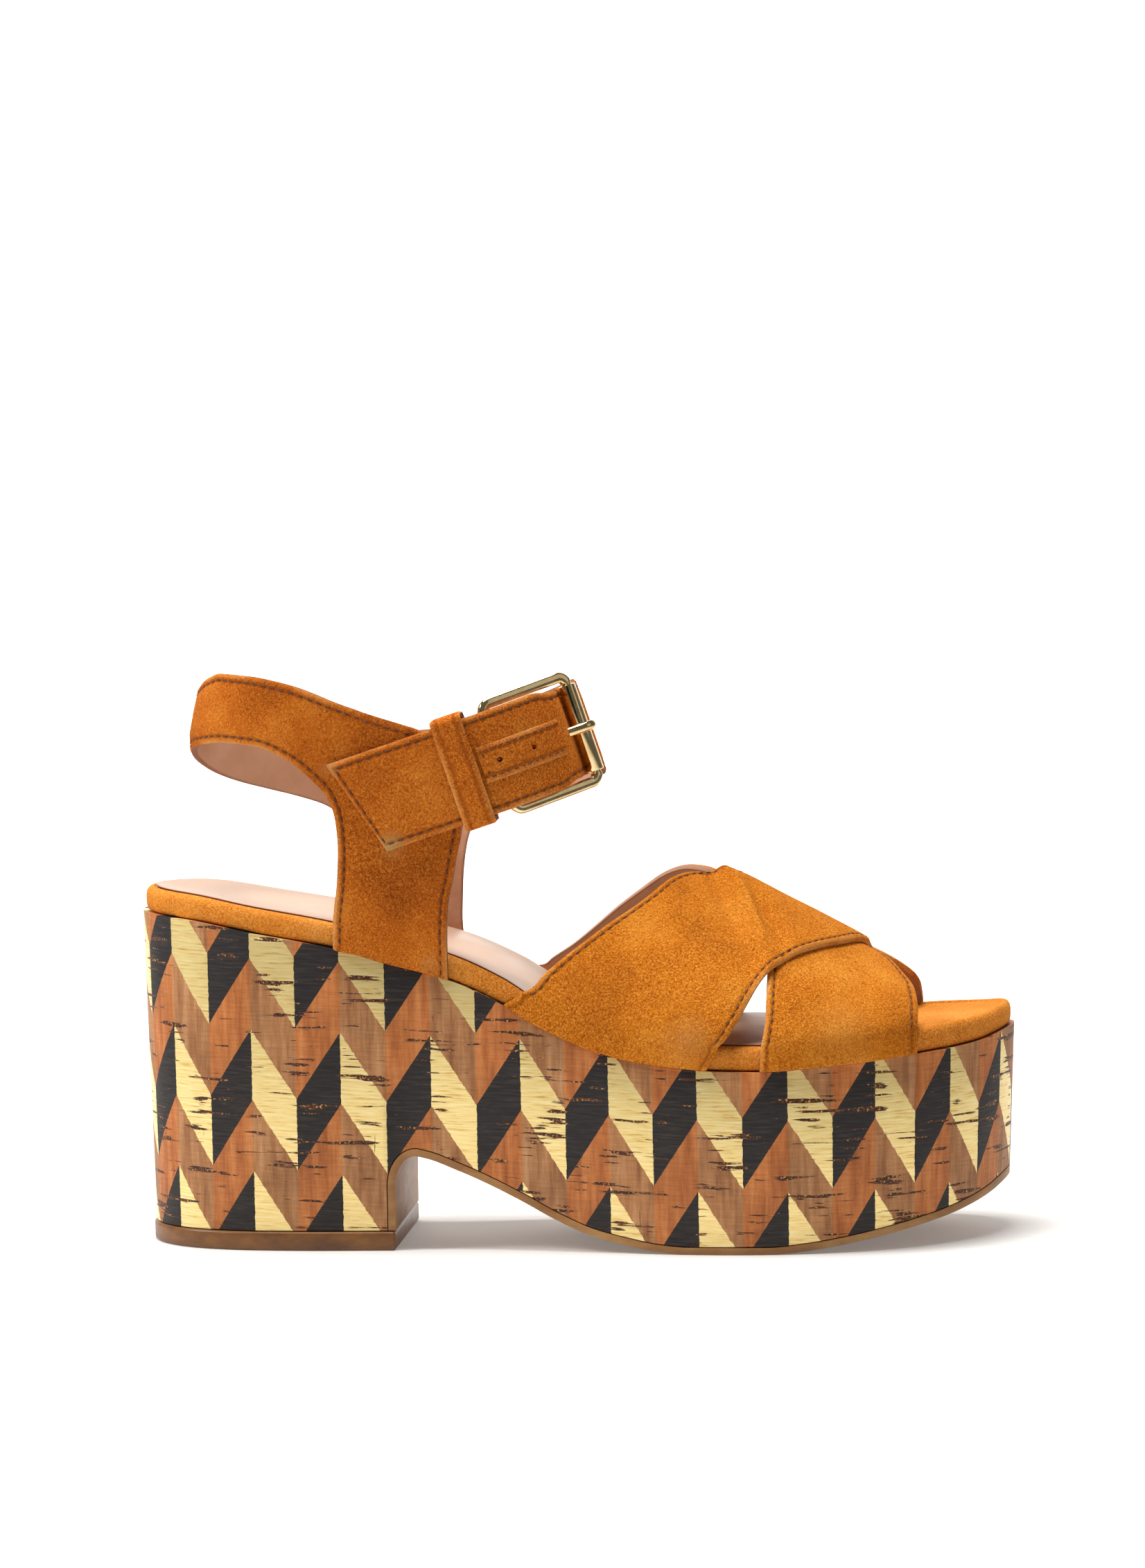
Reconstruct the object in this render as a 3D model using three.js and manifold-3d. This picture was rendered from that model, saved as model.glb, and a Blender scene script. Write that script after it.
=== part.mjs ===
// Platform block-heel sandal for the right foot, in millimetres.
// +X runs from heel to toe, -Y is the outer (lateral) side with the buckle, +Z is up from the ground.
import * as THREE from "three";
import { mergeVertices } from "three/addons/utils/BufferGeometryUtils.js";
import Module from "manifold-3d";

const wasm = await Module();
wasm.setup();

// Sizes of the whole sandal
const shoeLength = 243.5; // back of the heel to the tip of the platform
const ballWidth = 88.1; // widest place of the platform
const heelHeight = 92.8; // top of the cork at the back of the heel
const insoleRise = 6.6; // thickness of the wrapped insole board
const instepRise = 50; // height of the foot's arch under the vamp, above the insole
const ankleRise = 67.1; // top edge of the heel band above the cork at the heel
const ankleHalfWidth = 29.5; // half the inner width of the ankle opening
const clearance = 0.3; // between pieces that are glued, sewn or laid on each other
const curvedClearance = 0.4; // the same where both faces are curved

// Cork platform, outsole and heel
const heelTaper = 2.4; // how far the block leans in towards the ground, at the heel's back
const sideTaper = 1.5; // and at the sides
const outsoleWall = 2;
const liftHeight = 5.3;
const liftOverhang = 0.7;
const breastX = 73; // front face of the heel, outsole sheet included
const waistRise = 26.4; // ground to the highest place of the waist
const archLength = 6; // run of the bend between breast and waist
const archHeight = 8.4; // height of that bend

// Insole and sock
const insoleInset = 1; // rand to cork edge
const sockRecess = 0.6;
const sockInset = 3.6;
const sockWall = 0.9;
const sockEnd = 0.85; // share of the shoe's length, under the vamp
const footbedDish = 1.2; // how far the heel seat is hollowed across
const dishEnd = 0.6; // share of the shoe's length where the hollow has run out
const randRound = 1.1; // rounding of the wrapped board's lower edge, and of its upper one
const sockGroove = 0.3; // rounding of the rand's inner edge beside the sock

// Straps
const leatherWall = 2;
const stepRun = 5; // length over which the upper strap climbs on the lower one
const fusedDepth = 0.2; // how far joined layers share material
const archStep = 7; // degrees between cuts along the vamp straps
const archCentre = 4; // crown of the foot, towards the inner side
const lateralFullness = 1.55; // exponent of the arch: 2 is an ellipse, 1 a straight slope
const medialFullness = 1.7;

// Heel band and quarters
const ankleCentreX = 57; // where the round heel turns into the straight sides
const heelBandX = 14.2; // back of the heel band
const heelBandLean = 0.2; // forward lean of its upper part, per mm of height
const leanStart = 0.73; // share of ankleRise where that lean starts
const footHold = 5; // height above the insole up to which a quarter keeps the foot's width
const ankleStart = 0.21; // share of ankleRise from where it keeps the ankle's width

// Buckle strap and buckle, in the strap's own tilted frame: p forward, q to the inner side, r up
const strapTilt = 0.33; // rise of the strap per mm towards the toe
const strapFall = 3; // how much lower the strap runs on the inner side
const strapHalfWidth = 14;
const strapCentre = 1.9;
const outerBulge = 1.1; // how far the outer side swells towards the buckle
const innerTuck = 1.5; // how far the inner side draws in towards the front
const tongueSetbacks = [6.3, 10.8, 14.6]; // cuts across the quarter's tongue, back from the bar
const tongueInset = 0.8; // strap's edge to the tongue's edge
const tailLength = 45.3; // hinge bar to the corner of the strap's free end
const tailSlant = 8.5; // how much shorter its lower corner is
const tailSpare = 4; // length trimmed off beyond the corner
const narrowing = 6; // length over which the strap narrows towards the roller
const narrowReach = 9; // how far from the roller it stays narrow
const patchHalfWidth = 5.2;
const patchRise = 0.7;
const patchBack = 4.6; // reach of the raised patch behind the hinge bar
const patchFront = 18.2; // and ahead of it
const keeperWidth = 9;
const keeperWall = 1.5;
const keeperRound = 0.7; // inner corner radius
const keeperSetback = 14.3; // hinge bar back to the keeper's far edge
const frameCentre = 2; // r of the buckle's middle
const frameHeight = 33.5; // outer size across the rails
const barDistance = 27.3; // hinge bar to roller bar
const railHalfWidth = 1.5;
const railHalfDepth = 1.2;
const hingeRadius = 1.4;
const rollerBarRadius = 1.2;
const rollerRadius = 2.1;
const frameCorner = 2.4; // corner radius of the frame's middle line
const tabWall = 1.2;
const outerLegs = [10.8, 4.8]; // tab's outer leg: how far back it starts, and where it bends out
const innerLegs = [6, 11.3]; // the same for its inner leg, from the bend to the end
const sideFreedom = 1.05; // strap and tab to the metal beside them
const prongRadius = 1.1;
const prongEyeWall = 1.3;
const prongEyeHalfWidth = 1.5;
const eyeSlotMargin = 1; // tab slot to the prong's eye
const prongRest = 0.2; // gap between prong and roller beyond the clearance
const prongPast = 3.1; // how far the prong's tip reaches past the roller bar
const prongDip = 0.8; // how far the tip bends down
const hingePlace = 0.451; // p of the hinge bar, as a share of shoeLength
const hingeInset = 0.7; // hinge bar inside the quarter's inner face
const hingeRise = 0.624; // its height above the heel's cork, as a share of ankleRise
const frameTurn = Math.atan2(0.545, 0.839); // the frame follows the ankle round to the front

// Sizes that follow
const hingeBar = new THREE.Vector2(hingePlace * shoeLength, hingeInset - ankleHalfWidth);
const strapSeat = ankleHalfWidth + 1.5 * leatherWall + clearance; // q of the strap on a quarter
const frameOpening = frameHeight / 2 - 2 * railHalfWidth;
const barHalfLength = frameHeight / 2 - railHalfWidth - frameCorner;
const overHinge = hingeRadius + prongEyeWall + leatherWall / 2 + 3 * clearance;
const behindRoller = rollerRadius + leatherWall / 2 + 2 * curvedClearance;

// Plan outline of the platform's upper edge: shares of shoeLength and ballWidth, heel back first,
// then the outer side, the toe tip (entry 16) and the inner side
const OUTLINE = [
  [0, 0.0057], [0.0148, -0.1476], [0.0513, -0.2611], [0.1088, -0.3326], [0.1869, -0.361],
  [0.2731, -0.3632], [0.3676, -0.3632], [0.4579, -0.3882], [0.54, -0.4336], [0.6181, -0.4767],
  [0.692, -0.4949], [0.7659, -0.479], [0.8357, -0.4177], [0.8994, -0.3156], [0.9487, -0.1816],
  [0.9836, -0.017], [1, 0.1589], [0.9918, 0.3008], [0.961, 0.4143], [0.9035, 0.4824],
  [0.8296, 0.5051], [0.7474, 0.5017], [0.6612, 0.4767], [0.5708, 0.4313], [0.4764, 0.3859],
  [0.3737, 0.3575], [0.271, 0.3575], [0.1848, 0.3553], [0.1068, 0.3269], [0.0505, 0.2531],
  [0.0148, 0.1453],
];
const TOE_ENTRY = 16;

// Upper line of the cork, seen from the side: shares of shoeLength and heelHeight
const CORK_TOP = [
  [0.0111, 1], [0.0657, 0.9903], [0.1417, 0.9547], [0.2341, 0.9095], [0.3039, 0.8556],
  [0.3655, 0.8125], [0.4296, 0.736], [0.4559, 0.6918], [0.4908, 0.6476], [0.5339, 0.6034],
  [0.5774, 0.5744], [0.6214, 0.5593], [0.6653, 0.5496], [0.7228, 0.5463], [0.7721, 0.5528],
  [0.8337, 0.5647], [0.8932, 0.5797], [0.9598, 0.5948], [1.0008, 0.6207],
];

// Walking side of the outsole from the waist on: shares of shoeLength and waistRise, flat on the
// ground under the ball
const GROUND = [0.6366, 0.7269]; // shares of shoeLength between which it lies on the ground
const TREAD = [
  [0.3244, 1], [0.3409, 0.9621], [0.3696, 0.8561], [0.3984, 0.7424], [0.4435, 0.5379],
  [0.4846, 0.3371], [0.5257, 0.178], [0.5667, 0.0833], [0.6037, 0.0227], [0.6366, 0],
  [0.7269, 0], [0.7721, 0.0341], [0.8337, 0.1174], [0.8953, 0.2311], [0.9363, 0.3258],
  [0.9713, 0.447], [0.9979, 0.5985],
];

// Crown of the foot under the vamp: shares of shoeLength and instepRise above the insole
const CROWN = [
  [0.4312, 0.7411], [0.4805, 0.8659], [0.5421, 0.9382], [0.5873, 0.9383], [0.616, 0.9186],
  [0.6407, 0.8799], [0.6776, 0.8153], [0.7105, 0.7347], [0.7556, 0.612], [0.8008, 0.4797],
  [0.8255, 0.4049], [0.8501, 0.3423], [0.8706, 0.2886], [0.8953, 0.2251], [0.924, 0.163],
];

// Edges of the two vamp straps: degrees round the arch from the outer foot (0) to the inner foot
// (180), with -1 and 181 at the cork line, and the share of shoeLength there
const UPPER_STRAP = {
  back: [
    [-1, 0.4292], [0, 0.4476], [19, 0.4825], [40, 0.5425], [55, 0.5893], [67, 0.6144],
    [79, 0.6431], [90, 0.6715], [101, 0.692], [114, 0.7084], [128, 0.7207], [142, 0.7269],
    [160, 0.7269], [180, 0.7228], [181, 0.7207],
  ],
  front: [
    [-1, 0.6608], [0, 0.6747], [14.5, 0.6957], [33, 0.7207], [46, 0.7495], [57, 0.7782],
    [68.6, 0.8029], [80, 0.8164], [93, 0.8279], [109, 0.848], [126, 0.8719], [142, 0.8891],
    [158, 0.8965], [180, 0.8977], [181, 0.8965],
  ],
};
const LOWER_STRAP = {
  back: [
    [-1, 0.7207], [0, 0.7224], [20, 0.7273], [38, 0.7273], [52, 0.7187], [66, 0.7014],
    [79, 0.6797], [90, 0.6591], [102, 0.6374], [115, 0.6078], [126, 0.5811], [140, 0.5441],
    [161, 0.4887], [171, 0.4628], [180, 0.4456], [181, 0.4271],
  ],
  front: [
    [-1, 0.8924], [0, 0.8936], [25, 0.8945], [50, 0.8891], [71, 0.8698], [85, 0.8505],
    [93, 0.8304], [108, 0.809], [124, 0.7782], [137, 0.7483], [150, 0.722], [165, 0.694],
    [180, 0.6735], [181, 0.6604],
  ],
};

// Cuts across the quarter from its lower to its upper edge: x as a share of shoeLength and height
// above the heel's cork as a share of ankleRise; null is the foot, which stands on the cork
const OUTER_QUARTER = [
  [0.3823, 0.331, 0.3388, 0.772], [0.3765, 0.235, 0.3338, 0.778], [0.3733, 0.167, 0.3288, 0.785],
  [0.3663, 0.033, 0.3228, 0.791], [0.3651, -0.101, 0.3165, 0.798], [0.3655, null, 0.3103, 0.805],
  [0.3326, null, 0.3005, 0.816], [0.2998, null, 0.2915, 0.826], [0.2669, null, 0.283, 0.836],
  [0.2349, null, 0.275, 0.846], [0.2357, -0.012, 0.2695, 0.853], [0.2398, 0.137, 0.264, 0.861],
  [0.2415, 0.286, 0.2545, 0.873], [0.239, 0.405, 0.2385, 0.895], [0.2308, 0.495, 0.2165, 0.928],
  [0.2107, 0.578, 0.191, 0.959], [0.1815, 0.657, 0.1655, 0.98], [0.1446, 0.708, 0.138, 0.995],
  [0.1047, 0.718, 0.1043, 1], [0.0784, 0.705, 0.0858, 0.975], [0.0624, 0.68, 0.0723, 0.933],
];
const INNER_QUARTER = [
  [0.0571, 0.644, 0.0641, 0.897], [0.0624, 0.602, 0.069, 0.87], [0.0801, 0.542, 0.0842, 0.842],
  [0.1027, 0.502, 0.1068, 0.812], [0.1326, 0.466, 0.1396, 0.782], [0.1684, 0.428, 0.1766, 0.753],
  [0.2021, 0.382, 0.2074, 0.73], [0.2279, 0.286, 0.2259, 0.718], [0.2361, 0.152, 0.2382, 0.711],
  [0.2357, 0.003, 0.2485, 0.706], [0.2349, null, 0.258, 0.703], [0.2669, null, 0.273, 0.702],
  [0.2998, null, 0.289, 0.702], [0.3326, null, 0.305, 0.704], [0.3614, null, 0.3205, 0.708],
  [0.3565, -0.101, 0.329, 0.711], [0.3581, 0.063, 0.3405, 0.717], [0.3639, 0.227, 0.3515, 0.725],
  [0.3758, 0.346, 0.363, 0.733],
];

// Smooth curve through a table of rising first values that never overshoots its entries
function through(table, xScale = 1, yScale = 1) {
  const xs = table.map((row) => row[0] * xScale);
  const ys = table.map((row) => row[1] * yScale);
  const last = xs.length - 1;
  const slope = (i) => (ys[i + 1] - ys[i]) / (xs[i + 1] - xs[i]);
  const tangent = xs.map((_, i) => {
    if (i === 0) return slope(0);
    if (i === last) return slope(last - 1);
    const before = slope(i - 1);
    const after = slope(i);
    return before * after <= 0 ? 0 : (2 * before * after) / (before + after);
  });
  return (x) => {
    if (x <= xs[0]) return ys[0] + tangent[0] * (x - xs[0]);
    if (x >= xs[last]) return ys[last] + tangent[last] * (x - xs[last]);
    let i = 0;
    while (x > xs[i + 1]) i++;
    const run = xs[i + 1] - xs[i];
    const t = (x - xs[i]) / run;
    const square = t * t;
    const cube = square * t;
    return (
      ys[i] * (2 * cube - 3 * square + 1) +
      ys[i + 1] * (3 * square - 2 * cube) +
      run * (tangent[i] * (cube - 2 * square + t) + tangent[i + 1] * (cube - square))
    );
  };
}

const lerp = THREE.MathUtils.lerp;
const radians = THREE.MathUtils.degToRad;
const smooth = (t) => THREE.MathUtils.smoothstep(t, 0, 1);

// Collects triangles and turns them into a closed geometry whose faces point outwards
class Facets {
  corners = [];
  volume = 0;

  triangle(a, b, c) {
    if (a.distanceTo(b) < 1e-4 || b.distanceTo(c) < 1e-4 || c.distanceTo(a) < 1e-4) return;
    this.corners.push([a, b, c]);
    this.volume += a.dot(new THREE.Vector3().crossVectors(b, c));
  }

  quad(a, b, c, d) {
    this.triangle(a, b, c);
    this.triangle(a, c, d);
  }

  geometry() {
    const values = this.corners.flatMap(([a, b, c]) =>
      (this.volume < 0 ? [a, c, b] : [a, b, c]).flatMap((corner) => corner.toArray()),
    );
    return new THREE.BufferGeometry().setAttribute(
      "position",
      new THREE.Float32BufferAttribute(values, 3),
    );
  }
}

// A sheet between two grids of points, closed round its border
function sheet(lower, upper) {
  const facets = new Facets();
  const rows = lower.length - 1;
  const columns = lower[0].length - 1;
  for (let i = 0; i < rows; i++) {
    for (let j = 0; j < columns; j++) {
      facets.quad(upper[i][j], upper[i + 1][j], upper[i + 1][j + 1], upper[i][j + 1]);
      facets.quad(lower[i][j], lower[i][j + 1], lower[i + 1][j + 1], lower[i + 1][j]);
    }
    facets.quad(lower[i][0], lower[i + 1][0], upper[i + 1][0], upper[i][0]);
    facets.quad(upper[i][columns], upper[i + 1][columns], lower[i + 1][columns], lower[i][columns]);
  }
  for (let j = 0; j < columns; j++) {
    facets.quad(lower[0][j + 1], lower[0][j], upper[0][j], upper[0][j + 1]);
    facets.quad(lower[rows][j], lower[rows][j + 1], upper[rows][j + 1], upper[rows][j]);
  }
  return facets.geometry();
}

// Booleans on closed geometries
function solidOf(geometry) {
  const bare = geometry.clone();
  bare.deleteAttribute("normal");
  bare.deleteAttribute("uv");
  const merged = mergeVertices(bare, 1e-4);
  return new wasm.Manifold(
    new wasm.Mesh({
      numProp: 3,
      vertProperties: merged.attributes.position.array,
      triVerts: new Uint32Array(merged.index.array),
    }),
  );
}

function geometryOf(solid) {
  const mesh = solid.getMesh();
  const geometry = new THREE.BufferGeometry();
  geometry.setAttribute("position", new THREE.BufferAttribute(mesh.vertProperties, 3));
  geometry.setIndex(new THREE.BufferAttribute(mesh.triVerts, 1));
  return geometry;
}

const join = (a, b) => geometryOf(solidOf(a).add(solidOf(b)));
const cut = (a, b) => geometryOf(solidOf(a).subtract(solidOf(b)));
const overlap = (a, b) => geometryOf(solidOf(a).intersect(solidOf(b)));

// Outline of the platform as a ring of places with their inward directions; place i on the outer
// side lies across from place RING - i on the inner side
const RING = 96;
const outlineCurve = new THREE.CatmullRomCurve3(
  OUTLINE.map(([x, y]) => new THREE.Vector3(x * shoeLength, y * ballWidth, 0)),
  true,
  "centripetal",
);
const RIM = Array.from({ length: RING }, (_, i) => {
  const toe = TOE_ENTRY / OUTLINE.length;
  const half = RING / 2;
  const t = i <= half ? (toe * i) / half : toe + ((1 - toe) * (i - half)) / half;
  const place = outlineCurve.getPoint(t);
  const along = outlineCurve.getTangent(t);
  return { place, inward: new THREE.Vector2(-along.y, along.x) };
});

const corkTop = through(CORK_TOP, shoeLength, heelHeight);
const insoleTop = (x) => corkTop(x) + clearance + insoleRise;

function rimRing(inset, height) {
  return RIM.map(({ place, inward }) => {
    const x = place.x + inward.x * inset;
    const y = place.y + inward.y * inset;
    return new THREE.Vector3(x, y, height(x, y));
  });
}

// Distance of an inset outline from the centre line at x; side is -1 outside and 1 inside
function rimReach(inset, side) {
  const ring = rimRing(inset, () => 0);
  const half = side < 0 ? ring.slice(0, RING / 2 + 1) : [ring[0], ...ring.slice(RING / 2).reverse()];
  return (x) => {
    let i = 0;
    while (i < half.length - 2 && half[i + 1].x < x) i++;
    const t = (x - half[i].x) / (half[i + 1].x - half[i].x);
    return Math.abs(lerp(half[i].y, half[i + 1].y, THREE.MathUtils.clamp(t, 0, 1)));
  };
}

// Rows across a ring from the outer to the inner side, from the heel to row `rows`
function crossRows(ring, columns, rows, height) {
  return Array.from({ length: rows + 1 }, (_, i) => {
    const outer = ring[i];
    const inner = ring[(RING - i) % RING];
    return Array.from({ length: columns + 1 }, (_, j) => {
      const at = outer.clone().lerp(inner, j / columns);
      const between = height && j > 0 && j < columns;
      return between ? at.setZ(height(at.x, j / columns, outer.distanceTo(inner))) : at;
    });
  });
}

// A plate between rings: walls from ring to ring and rows across the first and the last
function plate(rings, columns, lastHeight) {
  const facets = new Facets();
  for (let k = 0; k < rings.length - 1; k++) {
    for (let i = 0; i < RING; i++) {
      const next = (i + 1) % RING;
      facets.quad(rings[k][i], rings[k][next], rings[k + 1][next], rings[k + 1][i]);
    }
  }
  const floor = crossRows(rings[0], 1, RING / 2);
  const roof = crossRows(rings[rings.length - 1], columns, RING / 2, lastHeight);
  for (let i = 0; i < RING / 2; i++) {
    facets.quad(floor[i][0], floor[i][1], floor[i + 1][1], floor[i + 1][0]);
    for (let j = 0; j < columns; j++) {
      facets.quad(roof[i][j], roof[i + 1][j], roof[i + 1][j + 1], roof[i][j + 1]);
    }
  }
  return facets.geometry();
}

// The block's outer form: it leans in from its upper edge towards the ground
function blockForm(proud, bottom, top) {
  const ringAt = (z) =>
    RIM.map(({ place, inward }) => {
      const taper = lerp(sideTaper, heelTaper, inward.x * inward.x);
      const inset = taper * (1 - z / corkTop(place.x)) - proud;
      return new THREE.Vector3(place.x + inward.x * inset, place.y + inward.y * inset, z);
    });
  return plate([ringAt(bottom), ringAt(top)], 1);
}

// A side profile drawn in x and z, run right across the shoe
function acrossShoe(points) {
  const shape = new THREE.Shape(points);
  const geometry = new THREE.ExtrudeGeometry(shape, { depth: 2 * ballWidth, bevelEnabled: false });
  return geometry.rotateX(Math.PI / 2).translate(0, ballWidth, 0);
}

// Walking line: up the breast, round the bend, down the waist and along the forepart
const treadHeight = through(TREAD, shoeLength, waistRise);
const past = 8; // how far profiles run past heel and toe
const treadLine = [new THREE.Vector2(breastX, liftHeight + clearance)];
for (let turn = 0; turn < 90; turn += 15) {
  const bend = radians(turn);
  treadLine.push(
    new THREE.Vector2(
      breastX + archLength * (1 - Math.cos(bend)),
      waistRise - archHeight * (1 - Math.sin(bend)),
    ),
  );
}
const TREAD_STEPS = 40;
for (let i = 0; i <= TREAD_STEPS; i++) {
  const x = lerp(breastX + archLength, shoeLength + past, i / TREAD_STEPS);
  const flat = x > GROUND[0] * shoeLength && x < GROUND[1] * shoeLength;
  treadLine.push(new THREE.Vector2(x, flat ? 0 : Math.max(0, treadHeight(x))));
}

// The walking line moved up into the sole by a distance
function treadInside(distance) {
  return treadLine.map((at, i) => {
    const before = treadLine[Math.max(i - 1, 0)];
    const after = treadLine[Math.min(i + 1, treadLine.length - 1)];
    const along = after.clone().sub(before).normalize();
    if (i === 0) along.set(0, 1);
    return new THREE.Vector2(at.x - along.y * distance, at.y + along.x * distance);
  });
}

function corkPlatform() {
  const under = treadInside(outsoleWall + clearance);
  const upper = [];
  const TOP_STEPS = 44;
  for (let i = 0; i <= TOP_STEPS; i++) {
    const x = lerp(shoeLength + past, -past, i / TOP_STEPS);
    upper.push(new THREE.Vector2(x, corkTop(x)));
  }
  const heelCorner = new THREE.Vector2(-past, liftHeight + clearance);
  return overlap(
    blockForm(0, -past, heelHeight + past),
    acrossShoe([heelCorner, ...under, ...upper]),
  );
}

function outsole() {
  const profile = [...treadLine, ...treadInside(outsoleWall).reverse()];
  return overlap(blockForm(0, -past, heelHeight + past), acrossShoe(profile));
}

function heelTopLift() {
  const profile = [
    new THREE.Vector2(-past, 0),
    new THREE.Vector2(breastX, 0),
    new THREE.Vector2(breastX, liftHeight),
    new THREE.Vector2(-past, liftHeight),
  ];
  return overlap(blockForm(liftOverhang, -past, heelHeight), acrossShoe(profile));
}

// Hollow of the footbed: deepest along the middle of the heel, none at the ball
const dishAt = (x, across, width) => {
  const fade = smooth((2 * width) / ballWidth) * (1 - smooth(x / (dishEnd * shoeLength)));
  return footbedDish * 4 * across * (1 - across) * fade;
};

function insole() {
  const base = (x) => corkTop(x) + clearance;
  const level = (share) => (x) => base(x) + insoleRise * share;
  const rings = [
    rimRing(insoleInset + randRound, level(0)),
    rimRing(insoleInset + 0.3 * randRound, level(0.1)),
    rimRing(insoleInset, level(0.35)),
    rimRing(insoleInset, level(0.65)),
    rimRing(insoleInset + 0.45 * randRound, level(0.86)),
    rimRing(insoleInset + 1.3 * randRound, level(0.98)),
    rimRing(sockInset - sockGroove, level(1)),
    rimRing(sockInset, (x) => base(x) + insoleRise - sockRecess),
  ];
  const bed = (x, across, width) => base(x) + insoleRise - sockRecess - dishAt(x, across, width);
  return plate(rings, 4, bed);
}

function sockLiner() {
  const bed = (x) => insoleTop(x) - sockRecess + clearance;
  const ring = rimRing(sockInset + clearance, bed);
  const rows = ring.findIndex((at) => at.x > sockEnd * shoeLength);
  const under = crossRows(ring, 4, rows, (x, ...place) => bed(x) - dishAt(x, ...place));
  const over = under.map((row) => row.map((at) => at.clone().setZ(at.z + sockWall)));
  return sheet(under, over);
}

// Inner face of the vamp over the foot, at x and an angle from the outer to the inner foot
const crownAt = through(CROWN, shoeLength, instepRise);
const outerReach = rimReach(insoleInset, -1);
const innerReach = rimReach(insoleInset, 1);

function vampFace(x, angle) {
  const foot = insoleTop(x);
  const side = angle < 90 ? -1 : 1;
  const reach = (side < 0 ? outerReach(x) : innerReach(x)) + curvedClearance;
  const below = Math.max(-angle, angle - 180);
  if (below > 0) {
    return new THREE.Vector3(x, side * reach, lerp(foot, corkTop(x) + clearance, below));
  }
  const power = 2 / (side < 0 ? lateralFullness : medialFullness);
  const span = reach - side * archCentre;
  const turn = radians(angle);
  const out = side * span * Math.abs(Math.cos(turn)) ** power;
  return new THREE.Vector3(x, archCentre + out, foot + crownAt(x) * Math.sin(turn) ** power);
}

function vampNormal(x, angle) {
  const step = 0.5;
  const lengthwise = vampFace(x + step, angle).sub(vampFace(x - step, angle));
  const low = THREE.MathUtils.clamp(angle - step, -1, 180);
  const high = THREE.MathUtils.clamp(angle + step, 0, 181);
  const around = vampFace(x, high).sub(vampFace(x, low));
  return lengthwise.cross(around).normalize();
}

const ARCH_ROWS = [-1, -0.5, 0];
for (let angle = archStep; angle < 180; angle += archStep) ARCH_ROWS.push(angle);
ARCH_ROWS.push(180, 180.5, 181);

// One strap between its edges; lift(x, angle) raises it over what lies under it
function vampStrap(edges, columns, lift) {
  const back = through(edges.back, 1, shoeLength);
  const front = through(edges.front, 1, shoeLength);
  const layer = (offset) =>
    ARCH_ROWS.map((angle) =>
      Array.from({ length: columns + 1 }, (_, j) => {
        const x = lerp(back(angle), front(angle), j / columns);
        const height = lift(x, angle) + offset;
        return vampFace(x, angle).addScaledVector(vampNormal(x, angle), height);
      }),
    );
  return sheet(layer(0), layer(leatherWall));
}

function vampStraps() {
  const lowerBack = through(LOWER_STRAP.back, 1, shoeLength);
  const lowerFront = through(LOWER_STRAP.front, 1, shoeLength);
  const climb = (x, angle) => {
    const outside = Math.max(lowerBack(angle) - x, x - lowerFront(angle), 0);
    return (leatherWall - fusedDepth) * (1 - smooth(outside / stepRun));
  };
  const lower = vampStrap(LOWER_STRAP, 6, () => 0);
  const upper = vampStrap(UPPER_STRAP, 10, climb);
  return join(lower, upper);
}

// Tilted frame of the buckle strap, in the shoe's frame
const strapForward = new THREE.Vector3(1, 0, strapTilt).normalize();
const strapInward = new THREE.Vector3(0, 1, 0);
const strapFrame = new THREE.Matrix4()
  .makeBasis(strapForward, strapInward, strapForward.clone().cross(strapInward))
  .setPosition(0, 0, heelHeight + hingeRise * ankleRise - hingeBar.x * strapForward.z);

// Inner face of heel band and quarters. Place w is 0 at the heel's back and 1 (inner side) or -1
// (outer side) where the sides start
const sideRun = 0.11 * shoeLength; // length over which the sides swell or draw in
const pastCentre = (x) => smooth((x - ankleCentreX - sideRun / 2) / sideRun);
const outerLoopReach = (x) => ankleHalfWidth + outerBulge * pastCentre(x);
const innerLoopReach = (x) => ankleHalfWidth - innerTuck * pastCentre(x);
const bandLean = (z) => heelBandLean * Math.max(0, z - heelHeight - leanStart * ankleRise);
const backRadius = (z) => ankleCentreX - heelBandX - bandLean(z);

function sideReach(side, x, z) {
  const loop = side < 0 ? outerLoopReach(x) : innerLoopReach(x);
  const foot = (side < 0 ? outerReach(x) : innerReach(x)) + curvedClearance;
  const start = insoleTop(x) + footHold;
  const end = heelHeight + ankleStart * ankleRise;
  const blend = smooth((z - start) / (end - start));
  return lerp(foot, loop, blend);
}

function bandPlace(x, z) {
  const radius = backRadius(z);
  if (x >= ankleCentreX) return 1 + (x - ankleCentreX) / ((radius * Math.PI) / 2);
  return Math.acos(Math.min(1, (ankleCentreX - x) / radius)) / (Math.PI / 2);
}

function bandFace(w, z) {
  const side = w < 0 ? -1 : 1;
  const away = Math.abs(w);
  const radius = backRadius(z);
  if (away >= 1) {
    const x = ankleCentreX + ((away - 1) * radius * Math.PI) / 2;
    return new THREE.Vector3(x, side * sideReach(side, x, z), z);
  }
  const turn = (away * Math.PI) / 2;
  const x = ankleCentreX - (radius - leatherWall) * Math.cos(turn);
  return new THREE.Vector3(x, side * sideReach(side, ankleCentreX, z) * Math.sin(turn), z);
}

function bandNormal(w, z) {
  const step = 0.02;
  const around = bandFace(w + step, z).sub(bandFace(w - step, z));
  const up = bandFace(w, z + 1).sub(bandFace(w, z - 1));
  return up.cross(around).normalize();
}

const QUARTER_ROWS = 8;

// Cut across the tongue that runs under the buckle strap, set back from the hinge bar
function tongueCut(setback) {
  const edge = (side) =>
    new THREE.Vector3(
      hingeBar.x - setback,
      0,
      strapCentre + side * (strapHalfWidth - tongueInset),
    ).applyMatrix4(strapFrame);
  return [edge(-1), edge(1)];
}

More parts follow.
